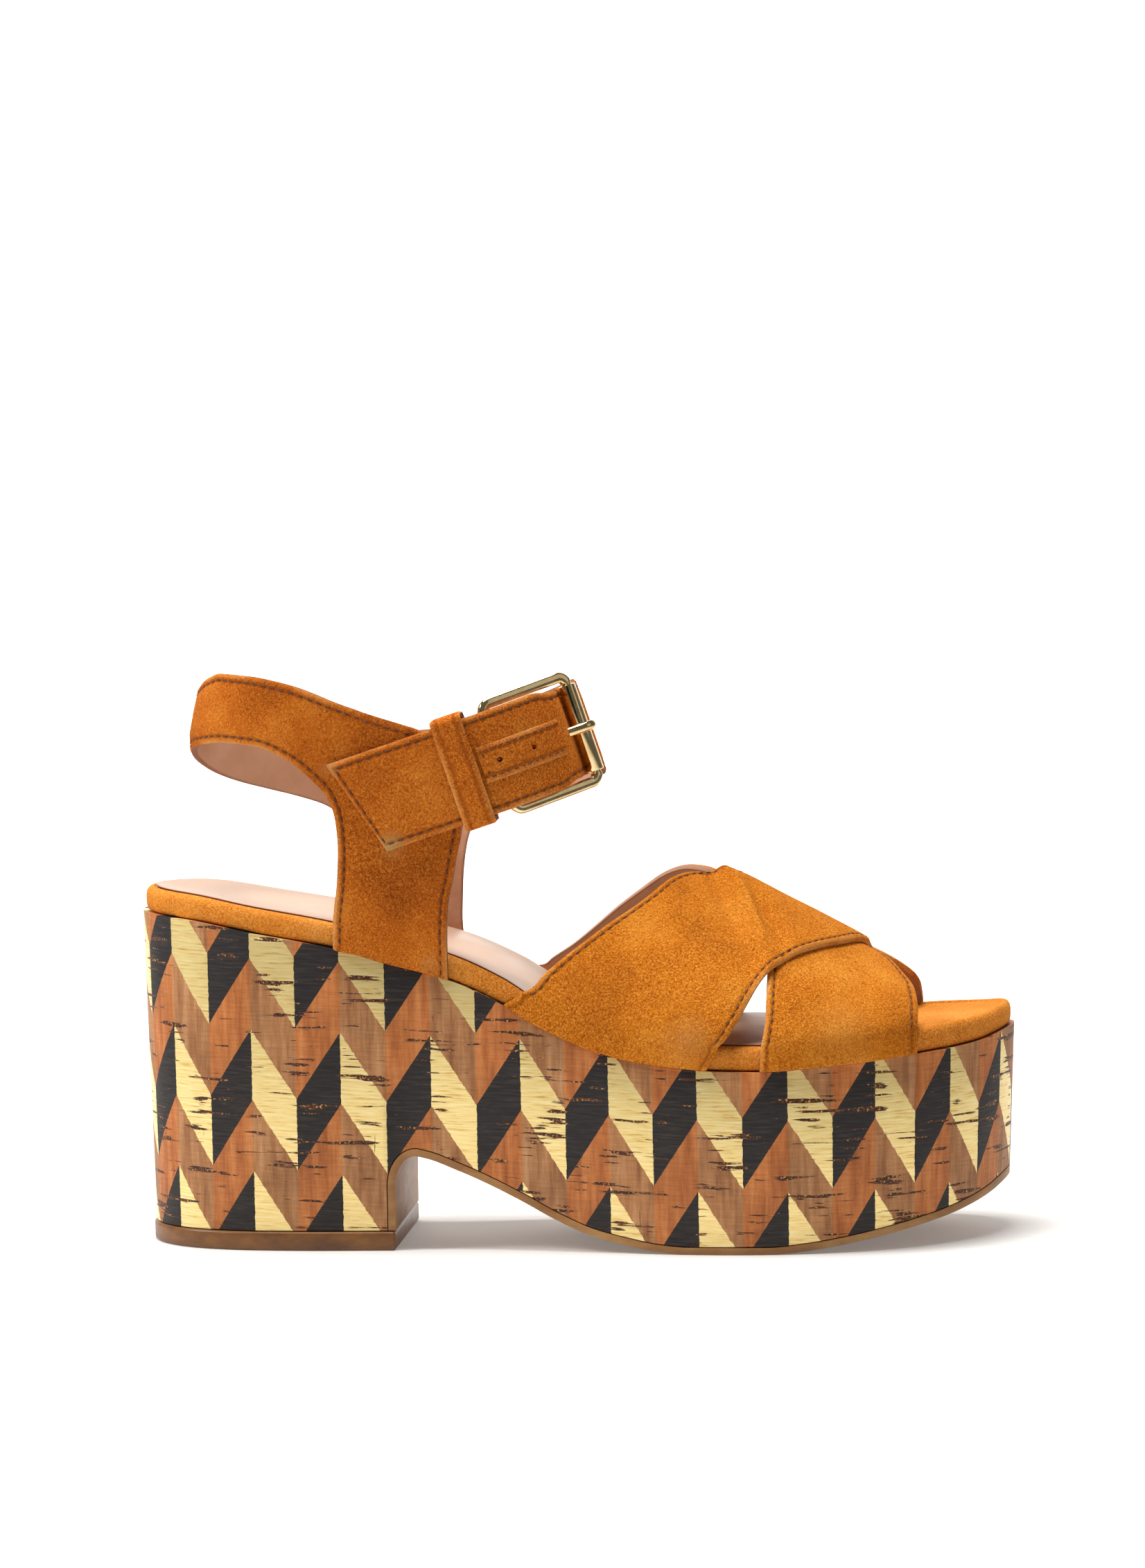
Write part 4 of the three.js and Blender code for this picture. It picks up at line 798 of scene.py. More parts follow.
def printed_cork(name):
    """Sliced cork on cloth, screen-printed in black and foiled in gold between bare browns."""
    made, tree, shader = material(name, IOR=1.5, Specular_IOR_Level=0.35)
    uv = node(tree, "UVMap").outputs["UV"]
    split = node(tree, "SeparateXYZ", {"Vector": uv})
    # Printed edges waver by a tenth of a millimetre
    ragged = node(tree, "TexNoise", {"Vector": uv, "Scale": 1 / 0.0014, "Detail": 3.0})
    waver = node(tree, "MapRange", {0: ragged, 1: 0.3, 2: 0.7, 3: -0.00012, 4: 0.00012})
    u = node(tree, "Math", {0: split.outputs["X"], 1: waver}, operation="ADD")
    v = node(tree, "Math", {0: split.outputs["Y"], 1: waver}, operation="ADD")
    # Columns fall and rise by turns; MULTIPLY_ADD keeps the numbers above nought for MODULO
    column = node(tree, "Math", {0: u, 1: 1 / (PRINT_COLUMN * MM), 2: 100.0},
                  operation="MULTIPLY_ADD")
    turn = node(tree, "Math", {0: column, 1: 2.0}, operation="MODULO")
    rising = node(tree, "Math", {0: turn}, operation="FLOOR")
    zigzag = node(tree, "Math", {0: column, 1: 1.0}, operation="PINGPONG")
    raised = node(tree, "Math", {0: zigzag, 1: PRINT_DROP * MM, 2: v}, operation="MULTIPLY_ADD")
    height = node(tree, "Math", {0: raised, 1: 1 / (PRINT_BAND * MM), 2: 100.0},
                  operation="MULTIPLY_ADD")
    above = node(tree, "Math", {0: height, 1: 2.0}, operation="MODULO")
    inked = node(tree, "Math", {0: above, 1: 1.0}, operation="LESS_THAN")
    # Bare cork: upright streaks of growth, and the level lines of the knife that sliced it
    upright = node(tree, "Mapping", {"Vector": uv, "Scale": (1.0, 0.1, 1.0)})
    streaks = node(tree, "TexNoise", {"Vector": upright, "Scale": 1 / 0.0024,
                                                "Detail": 5.0, "Roughness": 0.65})
    level = node(tree, "Mapping", {"Vector": uv, "Scale": (0.07, 1.0, 1.0)})
    lines = node(tree, "TexNoise", {"Vector": level, "Scale": 1 / 0.0006, "Detail": 3.0,
                                              "Roughness": 0.65})
    clouds = node(tree, "TexNoise", {"Vector": uv, "Scale": 1 / 0.018, "Detail": 3.0})
    brown = node(tree, "ValToRGB", {"Fac": streaks},
                 stops=[(0.3, "#875330"), (0.5, "#ab7548"), (0.72, "#c79465")])
    orange = node(tree, "ValToRGB", {"Fac": streaks},
                  stops=[(0.3, "#985224"), (0.5, "#bb6e36"), (0.72, "#d2894e")])
    bare = node(tree, "Mix", {0: rising, 6: brown, 7: orange}, data_type="RGBA")
    shade = node(tree, "MapRange", {0: lines, 1: 0.34, 2: 0.66, 3: 0.84, 4: 1.08})
    cloudy = node(tree, "MapRange", {0: clouds, 1: 0.3, 2: 0.7, 3: 0.86, 4: 1.12})
    lined = node(tree, "Mix", {0: 1.0, 6: bare, 7: shade}, data_type="RGBA", blend_type="MULTIPLY")
    cork = node(tree, "Mix", {0: 1.0, 6: lined, 7: cloudy}, data_type="RGBA", blend_type="MULTIPLY")
    gold = node(tree, "ValToRGB", {"Fac": lines},
                stops=[(0.3, "#c89c4e"), (0.42, "#ecce84"), (0.7, "#f8e6a8")])
    black = node(tree, "ValToRGB", {"Fac": lines},
                 stops=[(0.3, "#171312"), (0.5, "#241f1e"), (0.7, "#3a322f")])
    ink = node(tree, "Mix", {0: rising, 6: gold, 7: black}, data_type="RGBA")
    printed = node(tree, "Mix", {0: inked, 6: cork, 7: ink}, data_type="RGBA")
    # Lenticels: level cracks of dark bark, 2 to 15 mm long and under 1 mm high, in drifts
    drawn = node(tree, "Mapping", {"Vector": uv, "Scale": (0.07, 1.0, 1.0)})
    cells = node(tree, "TexNoise", {"Vector": drawn, "Scale": 1 / 0.0017, "Detail": 4.0,
                                              "Roughness": 0.55, "Distortion": 0.2})
    where = node(tree, "TexNoise", {"Vector": uv, "Scale": 1 / 0.012, "Detail": 2.0})
    limit = node(tree, "MapRange", {0: where, 1: 0.35, 2: 0.65, 3: 0.69, 4: 0.545})
    over = node(tree, "Math", {0: cells, 1: limit}, operation="SUBTRACT")
    cracks = node(tree, "MapRange", {0: over, 1: 0.0, 2: 0.02, 3: 0.0, 4: 1.0})
    # A few upright splits as well
    tall = node(tree, "Mapping", {"Vector": uv, "Scale": (1.0, 0.09, 1.0)})
    splits = node(tree, "TexNoise", {"Vector": tall, "Scale": 1 / 0.0016, "Detail": 3.0})
    split_open = node(tree, "MapRange", {0: splits, 1: 0.73, 2: 0.75, 3: 0.0, 4: 0.8})
    flaws = node(tree, "Math", {0: cracks, 1: split_open}, operation="MAXIMUM")
    flecks = node(tree, "TexNoise", {"Vector": uv, "Scale": 1 / 0.0007, "Detail": 2.0})
    bark = node(tree, "ValToRGB", {"Fac": flecks},
                stops=[(0.42, "#341b10"), (0.58, "#6a3c20"), (0.7, "#e0b060")])
    colour = node(tree, "Mix", {0: flaws, 6: printed, 7: bark}, data_type="RGBA")
    # Foil is metal, and only where it isn't cracked
    falling = node(tree, "Math", {0: 1.0, 1: rising}, operation="SUBTRACT")
    foil = node(tree, "Math", {0: inked, 1: falling}, operation="MULTIPLY")
    whole = node(tree, "Math", {0: 1.0, 1: flaws}, operation="SUBTRACT")
    shining = node(tree, "Math", {0: foil, 1: whole}, operation="MULTIPLY")
    metal = node(tree, "Math", {0: shining, 1: 0.45}, operation="MULTIPLY")
    rough = node(tree, "MapRange", {0: shining, 1: 0.0, 2: 1.0, 3: 0.6, 4: 0.36})
    deep = node(tree, "Math", {0: lines, 1: 0.3}, operation="MULTIPLY")
    relief_height = node(tree, "Math", {0: deep, 1: flaws}, operation="SUBTRACT")
    bump = node(tree, "Bump", {"Height": relief_height, "Strength": 0.55, "Distance": 0.0003})
    wear(tree, shader, Base_Color=colour, Metallic=metal, Roughness=rough, Normal=bump)
    return made


# Marks on the suede: the tail's rubbed corners and the quarter's rubbed edges, and on the vamp a
# dark spot, pale patches and darker patches on the upper strap; place, reach, strength and colour
STRAP_MARKS = [((56, -35, 134), 4.0, 0.6, "#c8ac72"), ((74, -36, 112), 5.5, 0.75, "#b39c62"),
               ((58, -34, 80), 3.0, 0.4, "#c08a54"), ((84, -34, 80), 3.5, 0.35, "#c08a54")]
VAMP_MARKS = [((179, -43, 67), 2.2, 0.6, "#6b4420"), ((156, -45, 60), 8.0, 0.35, "#d39a58"),
              ((199, -40, 63), 12.0, 0.2, "#d2984f"), ((130, -42, 76), 14.0, 0.6, "#944610"),
              ((182, -40, 78), 11.0, 0.3, "#9a4c12")]
SUEDE = suede("ochre_suede_straps", "#78340f", "#b9601a", "#e39038", "#d9a262", STRAP_MARKS)
# The vamp's suede is the straps' suede painted lighter and yellower: painted light for the better
# lit, upward-facing vamp
VAMP_SUEDE_PAINTED_LIGHTER = suede("ochre_suede_vamp_painted_lighter", "#7e3b0e", "#c26e1a", "#e99d3d", "#d9a262", VAMP_MARKS)
RAND = suede("rand_suede_orange", "#a2540f", "#d98430", "#f0ac58", "#dfa458")
LINING = smooth_leather("lining_kid_pink_beige", "#c6977a", "#d1a385", "#dbb197", 0.5, 0.1)
CUT_EDGE = smooth_leather("cut_edge_painted_brown", "#673210", "#8a4716", "#a66024", 0.7, 0.0)
SOCK = smooth_leather("sock_leather_lacquered", "#ab8b74", "#b4947d", "#bd9f89", 0.45, 0.0)
CORK = printed_cork("cork_sheet_printed_and_foiled")
SOLE = rubber("outsole_rubber_tan", "#87592a", "#9c6c39", "#b0834c", 0.5)
LIFT = rubber("top_lift_rubber_brown", "#5c3712", "#7a4c1c", "#935f28", 0.4, 0.1)
GOLD = plated_brass("buckle_pale_gold_plate")
THREAD = cotton_thread("thread_waxed_dark_brown")

# Camera at the photograph's angle, and the light
AZIMUTH, ELEVATION, ROLL = math.radians(5.0), math.radians(4.8), math.radians(-0.9)
DISTANCE, LOOK_AT = 2200.0, np.array([121.5, 0, 126.9])
FOCAL = 36 * (DISTANCE / 0.1936) / 2263
back = np.array([math.sin(AZIMUTH) * math.cos(ELEVATION),
                 -math.cos(AZIMUTH) * math.cos(ELEVATION), math.sin(ELEVATION)])
level_right = np.array([math.cos(AZIMUTH), math.sin(AZIMUTH), 0])
level_up = np.cross(back, level_right)
right = math.cos(ROLL) * level_right + math.sin(ROLL) * level_up
up = math.cos(ROLL) * level_up - math.sin(ROLL) * level_right
camera_data = bpy.data.cameras.new("camera")
camera_data.lens = FOCAL
camera_data.sensor_width = camera_data.sensor_height = 36
camera_data.sensor_fit = "AUTO"
camera_data.clip_end = 50
camera = bpy.data.objects.new("camera", camera_data)
bpy.context.scene.collection.objects.link(camera)
stand = (LOOK_AT + back * DISTANCE - MIDDLE) * MM
camera.matrix_world = Matrix([
    [right[0], up[0], back[0], stand[0]],
    [right[1], up[1], back[1], stand[1]],
    [right[2], up[2], back[2], stand[2]],
    [0, 0, 0, 1],
])
bpy.context.scene.camera = camera


def softbox(name, at, towards, size, power):
    data = bpy.data.lights.new(name, "AREA")
    data.shape = "RECTANGLE"
    data.size, data.size_y = size
    data.energy = power
    lamp = bpy.data.objects.new(name, data)
    bpy.context.scene.collection.objects.link(lamp)
    lamp.location = at
    lamp.rotation_euler = (Vector(towards) - Vector(at)).to_track_quat("-Z", "Y").to_euler()


TARGET = (0.0, 0.0, 0.07)
softbox("key", (-1.4, -0.35, 1.25), TARGET, (0.5, 0.5), 21)
softbox("fill", (1.7, -0.8, 1.1), TARGET, (0.7, 1.2), 1.2)
softbox("top", (-0.1, 0.0, 1.5), TARGET, (0.7, 0.6), 30)
softbox("backdrop", (0.0, 1.2, 1.6), (0.0, 2.6, 0.6), (2.5, 1.0), 110)
world = bpy.data.worlds.new("studio")
bpy.context.scene.world = world
world.use_nodes = True
world.node_tree.nodes["Background"].inputs["Color"].default_value = linear("#fbfaf8")
world.node_tree.nodes["Background"].inputs["Strength"].default_value = 0.15
bpy.context.scene.view_settings.view_transform = "Standard"


def studio_piece(piece, name, scale, dark, pale, **surface):
    """Gives a piece of the studio an even surface with faint clouds."""
    made, tree, shader = material(name, **surface)
    places = node(tree, "TexCoord").outputs["Object"]
    clouds = node(tree, "TexNoise", {"Vector": places, "Scale": scale, "Detail": 2.0})
    tone = node(tree, "ValToRGB", {"Fac": clouds}, stops=[(0.3, dark), (0.7, pale)])
    wear(tree, shader, Base_Color=tone)
    piece.data.materials.append(made)


# Pale floor that turns up into the backdrop
floor = start("studio_floor", bpy.ops.mesh.primitive_grid_add, x_subdivisions=1, y_subdivisions=24,
              size=1)
sweep = []
for k in range(25):
    turn = math.pi / 2 * np.clip((k - 4) / 16, 0, 1)
    y = -3.0 + 5.0 * min(k / 4, 1) + 1.0 * math.sin(turn)
    z = 1.0 * (1 - math.cos(turn)) + max(0, k - 20) * 0.8
    sweep += [(-6, y, z), (6, y, z)]
floor.data.vertices.foreach_set("co", np.array(sweep).ravel())
floor.data.update()
for polygon in floor.data.polygons:
    polygon.use_smooth = True
studio_piece(floor, "floor_matt_white", 3.0, "#d6d4d1", "#dddbd8", Roughness=0.7,
             Emission_Color="#fffdfa", Emission_Strength=0.16)

# A dark card behind the camera, which polished metal mirrors as its dark bands
flag = start("studio_dark_card", bpy.ops.mesh.primitive_plane_add, size=1)
flag.data.vertices.foreach_set("co", [-0.8, -2.9, 0.1, 0.5, -2.9, 0.1,
                                      -0.8, -2.9, 1.3, 0.5, -2.9, 1.3])
flag.data.update()
studio_piece(flag, "card_black_felt", 200.0, "#0c0c0c", "#161616", Roughness=0.9)


# Cork platform, outsole and top lift: one block cut by profiles that run across the shoe
def block(name, proud, bottom, top):
    piece = start(name, bpy.ops.mesh.primitive_cylinder_add, vertices=RING, radius=1, depth=1)
    taper = mix(SIDE_TAPER, HEEL_TAPER, INWARD[:, 0] ** 2)
    places = np.empty((RING, 2, 3))
    for level, z in enumerate((bottom, top)):
        inset = taper * (1 - z / cork_top(RIM[:, 0])) - proud
        places[:, level, :2] = RIM + INWARD * inset[:, None]
        places[:, level, 2] = z
    place(piece, places)
    edit(piece, turn_outwards)
    return piece


def across_shoe(name, profile):
    """A side profile in x and z, run right across the shoe."""
    profile = np.asarray(profile)
    piece = start(name, bpy.ops.mesh.primitive_cylinder_add, vertices=len(profile), radius=1,
                  depth=1)
    places = np.empty((len(profile), 2, 3))
    for level, y in enumerate((-BALL_WIDTH, BALL_WIDTH)):
        places[:, level, 0] = profile[:, 0]
        places[:, level, 1] = y
        places[:, level, 2] = profile[:, 1]
    place(piece, places)
    edit(piece, turn_outwards)
    return piece


PAST = 8.0  # how far profiles run past heel and toe
tread_line = [[BREAST_X, LIFT_HEIGHT + CLEARANCE]]
for turn in np.radians(np.arange(0, 90, 7.5)):
    tread_line.append([BREAST_X + ARCH_LENGTH * (1 - math.cos(turn)),
                       WAIST_RISE - ARCH_HEIGHT * (1 - math.sin(turn))])
for x in np.linspace(BREAST_X + ARCH_LENGTH, SHOE_LENGTH + PAST, 90):
    flat = TREAD[9][0] * SHOE_LENGTH < x < TREAD[10][0] * SHOE_LENGTH
    tread_line.append([x, 0 if flat else max(0.0, float(tread_height(x)))])
tread_line = np.array(tread_line)


def tread_inside(distance):
    before = np.vstack([tread_line[:1], tread_line[:-1]])
    after = np.vstack([tread_line[1:], tread_line[-1:]])
    along = unit(after - before)
    along[0] = [0, 1]
    return tread_line + np.stack([-along[:, 1], along[:, 0]], 1) * distance


cork = block("cork_block", 0, -PAST, HEEL_HEIGHT + PAST)
top_line = [[x, float(cork_top(x))] for x in np.linspace(SHOE_LENGTH + PAST, -PAST, 90)]
side_view = [[-PAST, LIFT_HEIGHT + CLEARANCE], *tread_inside(OUTSOLE_WALL + CLEARANCE), *top_line]
carve(cork, across_shoe("cork_profile", side_view), "INTERSECT")
bevel(cork, 0.45)

# The print runs round the wall by length, and up it by height
around, _ = outline(1600)
toe_at = 1600 // 2
run = lengths(np.vstack([around, around[:1]]))
repeats = round(run[-1] / (2 * PRINT_COLUMN))
print_run = np.where(
    run <= run[toe_at], run,
    run[toe_at] + (run - run[toe_at]) * (repeats * 2 * PRINT_COLUMN - run[toe_at])
    / (run[-1] - run[toe_at]))
print_base = through(PRINT_BASE)
corners = np.array([v.co[:] for v in cork.data.vertices]) / MM + MIDDLE
nearest = np.array([np.argmin(((around - c[:2]) ** 2).sum(1)) for c in corners])
tangent = np.roll(around, -1, 0) - around
part = np.clip(((corners[:, :2] - around[nearest]) * tangent[nearest]).sum(1)
               / (tangent[nearest] ** 2).sum(1), -1, 1)
wall_u = print_run[nearest] + part * np.diff(print_run)[nearest]
wall_v = corners[:, 2] - print_base(corners[:, 0]) - PRINT_DROP
if not cork.data.uv_layers:
    cork.data.uv_layers.new(name="UVMap")
uv_data = cork.data.uv_layers[0].data
total = print_run[-1]
for polygon in cork.data.polygons:
    us = [wall_u[cork.data.loops[k].vertex_index] for k in polygon.loop_indices]
    wrap = max(us) - min(us) > total / 2
    for k, value in zip(polygon.loop_indices, us):
        shown = value + total if wrap and value < total / 2 else value
        uv_data[k].uv = (shown * MM, wall_v[cork.data.loops[k].vertex_index] * MM)
finish_piece(cork, CORK, "printed_cork", "cork_platform", angle=35)

sole = block("outsole_sheet", 0, -PAST, HEEL_HEIGHT + PAST)
carve(sole, across_shoe("outsole_profile", [*tread_line, *tread_inside(OUTSOLE_WALL)[::-1]]),
      "INTERSECT")
bevel(sole, 0.35)
finish_piece(sole, SOLE, "outsole_rubber", "outsole", angle=35)

lift = block("top_lift", LIFT_OVERHANG, -PAST, HEEL_HEIGHT)
carve(lift, across_shoe("lift_profile", [[-PAST, 0], [BREAST_X, 0], [BREAST_X, LIFT_HEIGHT],
                                         [-PAST, LIFT_HEIGHT]]), "INTERSECT")
bevel(lift, 0.8, 3)
finish_piece(lift, LIFT, "lift_rubber", "heel_top_lift", angle=35)


# Insole board wrapped in suede, and the sock laid in it
def dish_at(x, across, width):
    fade = smooth(2 * width / BALL_WIDTH) * (1 - smooth(x / (DISH_END * SHOE_LENGTH)))
    return FOOTBED_DISH * 4 * across * (1 - across) * fade


def cross_rows(ring, columns, rows):
    """Rows across a ring from the outer to the inner side, heel first."""
    shares = np.linspace(0, 1, columns + 1)[None, :, None]
    outer = ring[: rows + 1][:, None]
    inner = ring[(RING - np.arange(rows + 1)) % RING][:, None]
    across = outer + (inner - outer) * shares
    return across, np.linalg.norm(inner - outer, axis=2)


def board():
    # Inset from the rim and share of the board's rise
    section = [
        [SOCK_INSET + 3, 0], [INSOLE_INSET + 0.9, 0], [INSOLE_INSET + 0.35, 0.06],
        [INSOLE_INSET + 0.1, 0.18], [INSOLE_INSET, 0.36], [INSOLE_INSET, 0.58],
        [INSOLE_INSET + 0.2, 0.76], [INSOLE_INSET + 0.7, 0.9], [INSOLE_INSET + 1.5, 0.98],
        [SOCK_INSET - 0.5, 1.0], [SOCK_INSET - 0.1, 0.975], [SOCK_INSET + 0.1, 0.91],
    ]
    rings = []
    for inset, share in section:
        flat = RIM + INWARD * inset
        z = cork_top(flat[:, 0]) + CLEARANCE + INSOLE_RISE * share
        rings.append(np.column_stack([flat, z]))
    rings = np.array(rings).transpose(1, 0, 2)
    rings = np.concatenate([rings, rings[:1]])
    piece = grid_piece("insole_rand", rings)
    run = lengths(RIM)
    uv = np.zeros(rings.shape[:2] + (2,))
    uv[:, :, 0] = np.append(run, run[-1])[:, None]
    uv[:, :, 1] = 6
    set_uv(piece, uv)
    edit(piece, merge(0.01))
    return piece


insole = board()
half = RING // 2
for name, level in (("bed", 0.91 * INSOLE_RISE), ("underside", 0)):
    inset = SOCK_INSET + 0.1 if name == "bed" else SOCK_INSET + 3
    ring = np.column_stack([RIM + INWARD * inset, np.zeros(RING)])
    across, width = cross_rows(ring, 12, half)
    z = cork_top(across[:, :, 0]) + CLEARANCE + level
    if name == "bed":
        shares = np.linspace(0, 1, 13)[None, :]
        drop = dish_at(across[:, :, 0], shares, width)
        z = z - drop * (shares > 0) * (shares < 1)
    across[:, :, 2] = z
    cap = grid_piece("cap_" + name, across)
    set_uv(cap, np.full(across.shape[:2] + (2,), 6.0))
    select(insole, cap)
    bpy.ops.object.join()
edit(insole, merge(0.02), turn_outwards)
finish_piece(insole, RAND, "rand_suede", "insole", angle=60)

ring = np.column_stack([RIM + INWARD * (SOCK_INSET + CLEARANCE), np.zeros(RING)])
rows = int(np.argmax(ring[:, 0] > SOCK_END * SHOE_LENGTH))
across, width = cross_rows(ring, 40, rows)
shares = np.linspace(0, 1, 41)[None, :]
bed = insole_top(across[:, :, 0]) - SOCK_RECESS + CLEARANCE
fade = (shares > 0) * (shares < 1)
across[:, :, 2] = bed + SOCK_WALL - dish_at(across[:, :, 0], shares, width) * fade
gap = np.minimum(shares, 1 - shares) * width
across[:, :, 2] += relief(gap) * 0.6
sock = grid_piece("sock", across)
set_uv(sock, np.stack([across[:, :, 0], gap], -1))
faces_outwards(sock, across, np.broadcast_to([0.0, 0, 1], across.shape))
edit(sock, merge(0.02))
for leather in (SOCK, SOCK, CUT_EDGE):
    sock.data.materials.append(leather)
modify(sock, "SOLIDIFY", thickness=SOCK_WALL * MM, offset=-1, material_offset=1,
       material_offset_rim=2)
finish_piece(sock, SOCK, "sock_leather", "sock_liner", angle=60)


# Vamp: the lower strap, and the upper one laid over it
ANGLES = np.array([-1, -0.75, -0.5, -0.25, 0, *np.arange(2, 179, 1.7), 180, 180.25, 180.5, 180.75,
                   181])


def strap_edge(table):
    """Edge of a vamp strap by angle; near the feet it runs evenly with height."""
    curve = through(table, 1, SHOE_LENGTH)
    first, last = table[2][0], table[-3][0]

    def edge(angle):
        angle = np.asarray(angle, float)
        climb = np.sin(np.radians(np.clip(angle, 0, 180)))
        outer = first * (climb / math.sin(math.radians(first))) ** (2 / LATERAL_FULLNESS)
        inner_climb = climb / math.sin(math.radians(180 - last))
        inner = 180 - (180 - last) * inner_climb ** (2 / MEDIAL_FULLNESS)
        even = np.where((angle > 0) & (angle < first), outer, angle)
        even = np.where((angle > last) & (angle < 180), inner, even)
        return curve(even)

    return edge


upper_back, upper_front = strap_edge(UPPER_BACK), strap_edge(UPPER_FRONT)
lower_back, lower_front = strap_edge(LOWER_BACK), strap_edge(LOWER_FRONT)


def no_lift(x, angle):
    return np.zeros_like(x)


def climb(x, angle):
    outside = np.maximum(np.maximum(lower_back(angle) - x, x - lower_front(angle)), 0)
    return (LEATHER_WALL + 0.1) * (1 - smooth(outside / STEP_RUN))


def creases(x, angle):
    """Soft trough and ridge that walking has left across the upper strap, and its fullness."""
    drawn = x - 169.5 + 0.33 * (angle - 68)
    trough = -2.8 * np.exp(-((drawn - 3.4) / 2.3) ** 2) - 1.8 * np.exp(-((drawn + 7.0) / 2.8) ** 2)
    trough = trough * np.exp(-(((angle - 64) / 15) ** 2))
    ridge = 1.7 * np.exp(-((drawn + 1.2) / 2.4) ** 2) * np.exp(-(((angle - 66) / 16) ** 2))
    return trough + ridge


def vamp_strap(name, back_edge, front_edge, lift, middle, folds):
    def surface(k, t):
        angle = np.full_like(t, ANGLES[k])
        x = mix(back_edge(angle), front_edge(angle), t)
        out = vamp_normal(x, angle)
        rise = lift(x, angle) + LEATHER_WALL + (creases(x, angle) if folds else 0)
        return vamp_face(x, angle) + out * rise[:, None], out

    def width_of(k):
        a, b = (vamp_face(edge(ANGLES[k]), ANGLES[k]) for edge in (back_edge, front_edge))
        return float(np.linalg.norm(a - b))

    def seam(side):
        """A row of stitches inside the back edge (0) or the front one (1)."""
        angle = np.linspace(2, 178, 260)
        back, front = (vamp_face(edge(angle), angle) for edge in (back_edge, front_edge))
        t = SEAM_IN / np.linalg.norm(front - back, axis=1)
        x = mix(back_edge(angle), front_edge(angle), 1 - t if side else t)
        out = vamp_normal(x, angle)
        rise = lift(x, angle) + LEATHER_WALL - THREAD_SINK
        return vamp_face(x, angle) + out * rise[:, None], out

    leather_band(name, len(ANGLES), surface, width_of, middle, LEATHER_WALL - 0.1,
                 ("vamp_straps",), rim=0 if folds else 1, outer=VAMP_SUEDE_PAINTED_LIGHTER)
    stitches(name + "_stitches", [seam(0), seam(1)])


vamp_strap("vamp_lower_strap", lower_back, lower_front, no_lift, 22, False)
vamp_strap("vamp_upper_strap", upper_back, upper_front, climb, 26, True)


# Quarter: heel band and both sides in one sheet, from the tongue under the buckle strap round the
# heel to the inner side
def tongue_cut(setback):
    half = STRAP_HALF_WIDTH - TONGUE_INSET
    edges = [from_strap([HINGE_P - setback, 0, STRAP_CENTRE + side * half]) for side in (-1, 1)]
    return [edges[0][0], edges[0][2], edges[1][0], edges[1][2]]


def table_cut(row):
    x = row[0] * SHOE_LENGTH
    z = float(cork_top(x)) + CLEARANCE if row[1] is None else HEEL_HEIGHT + row[1] * ANKLE_RISE
    return [x, z, row[2] * SHOE_LENGTH, HEEL_HEIGHT + row[3] * ANKLE_RISE]


outer_cuts = [tongue_cut(d) for d in TONGUE_SETBACKS] + [table_cut(r) for r in OUTER_QUARTER]
cuts = []
for i, (x0, z0, x1, z1) in enumerate(outer_cuts + [table_cut(r) for r in INNER_QUARTER]):
    side = -1 if i < len(outer_cuts) else 1
    cuts.append([side * band_place(x0, z0), z0, side * band_place(x1, z1), z1])
cuts = np.array(cuts)
CUT_STEPS = 6
along_cuts = np.linspace(0, len(cuts) - 1, (len(cuts) - 1) * CUT_STEPS + 1)
quarter_cuts = np.stack([
    through([[i, c] for i, c in enumerate(cuts[:, k])])(along_cuts) for k in range(4)], 1)


def quarter_at(k, t, lift=LEATHER_WALL):
    w0, z0, w1, z1 = quarter_cuts[k]
    w, z = mix(w0, w1, t), mix(z0, z1, t)
    out = band_normal(w, z)
    return band_face(w, z) + out * lift, out


QUARTER_COLUMNS = 40
quarter_points, quarter_outs = [], []
for k in range(len(quarter_cuts)):
    at, out = quarter_at(k, np.linspace(0, 1, QUARTER_COLUMNS + 1))
    quarter_points.append(at)
    quarter_outs.append(out)
quarter_points, quarter_outs = np.array(quarter_points), np.array(quarter_outs)


def foot_cuts(table, before):
    """The first and the last of a side's cuts that stand on the cork."""
    on_cork = [i + before for i, row in enumerate(table) if row[1] is None]
    return on_cork[0], on_cork[-1]


first_foot, last_foot = foot_cuts(OUTER_QUARTER, len(TONGUE_SETBACKS))
first_inner, last_inner = foot_cuts(INNER_QUARTER, len(outer_cuts))
# The quarter's free edges are all but its two feet
low_runs = [(0, first_foot), (last_foot, first_inner), (last_inner, len(cuts) - 1)]
free_edges = [
    (quarter_points[a * CUT_STEPS : b * CUT_STEPS + 1, 0],
     quarter_outs[a * CUT_STEPS : b * CUT_STEPS + 1, 0], 1) for a, b in low_runs]
free_edges.append((quarter_points[:, -1], quarter_outs[:, -1], -1))


def finely(line, spacing=0.5):
    count = max(2, int(lengths(line)[-1] / spacing))
    return resample(line, np.linspace(0, 1, count))


edge_places = np.concatenate([finely(line) for line, _, _ in free_edges]
                             + [finely(quarter_points[0]), finely(quarter_points[-1])])
quarter_gaps = np.array([
    np.sqrt(((row[:, None] - edge_places[None]) ** 2).sum(2).min(1)) for row in quarter_points])
leather_sheet("quarter", quarter_points, quarter_outs, quarter_gaps, LEATHER_WALL - 0.05,
              ("quarter_strap",))


def seam_inside(line, outs, way):
    """A row of stitches a seam's width inside an edge; way is the side the leather lies on."""
    fine, run = finely(line, 1.0), lengths(line)
    fine_outs = unit(at_length(np.linspace(0, run[-1], len(fine)), run, outs))
    tangent = unit(np.gradient(fine, axis=0))
    inwards = way * unit(np.cross(tangent, fine_outs))
    return fine + inwards * SEAM_IN - fine_outs * 0.12, fine_outs


quarter_lines = [seam_inside(line[1:-1], outs[1:-1], way) for line, outs, way in free_edges]
stitches("quarter_stitches", quarter_lines)


# Buckle strap
def strap_places(table):
    return [[p * SHOE_LENGTH, q * STRAP_SEAT] for p, q in table]


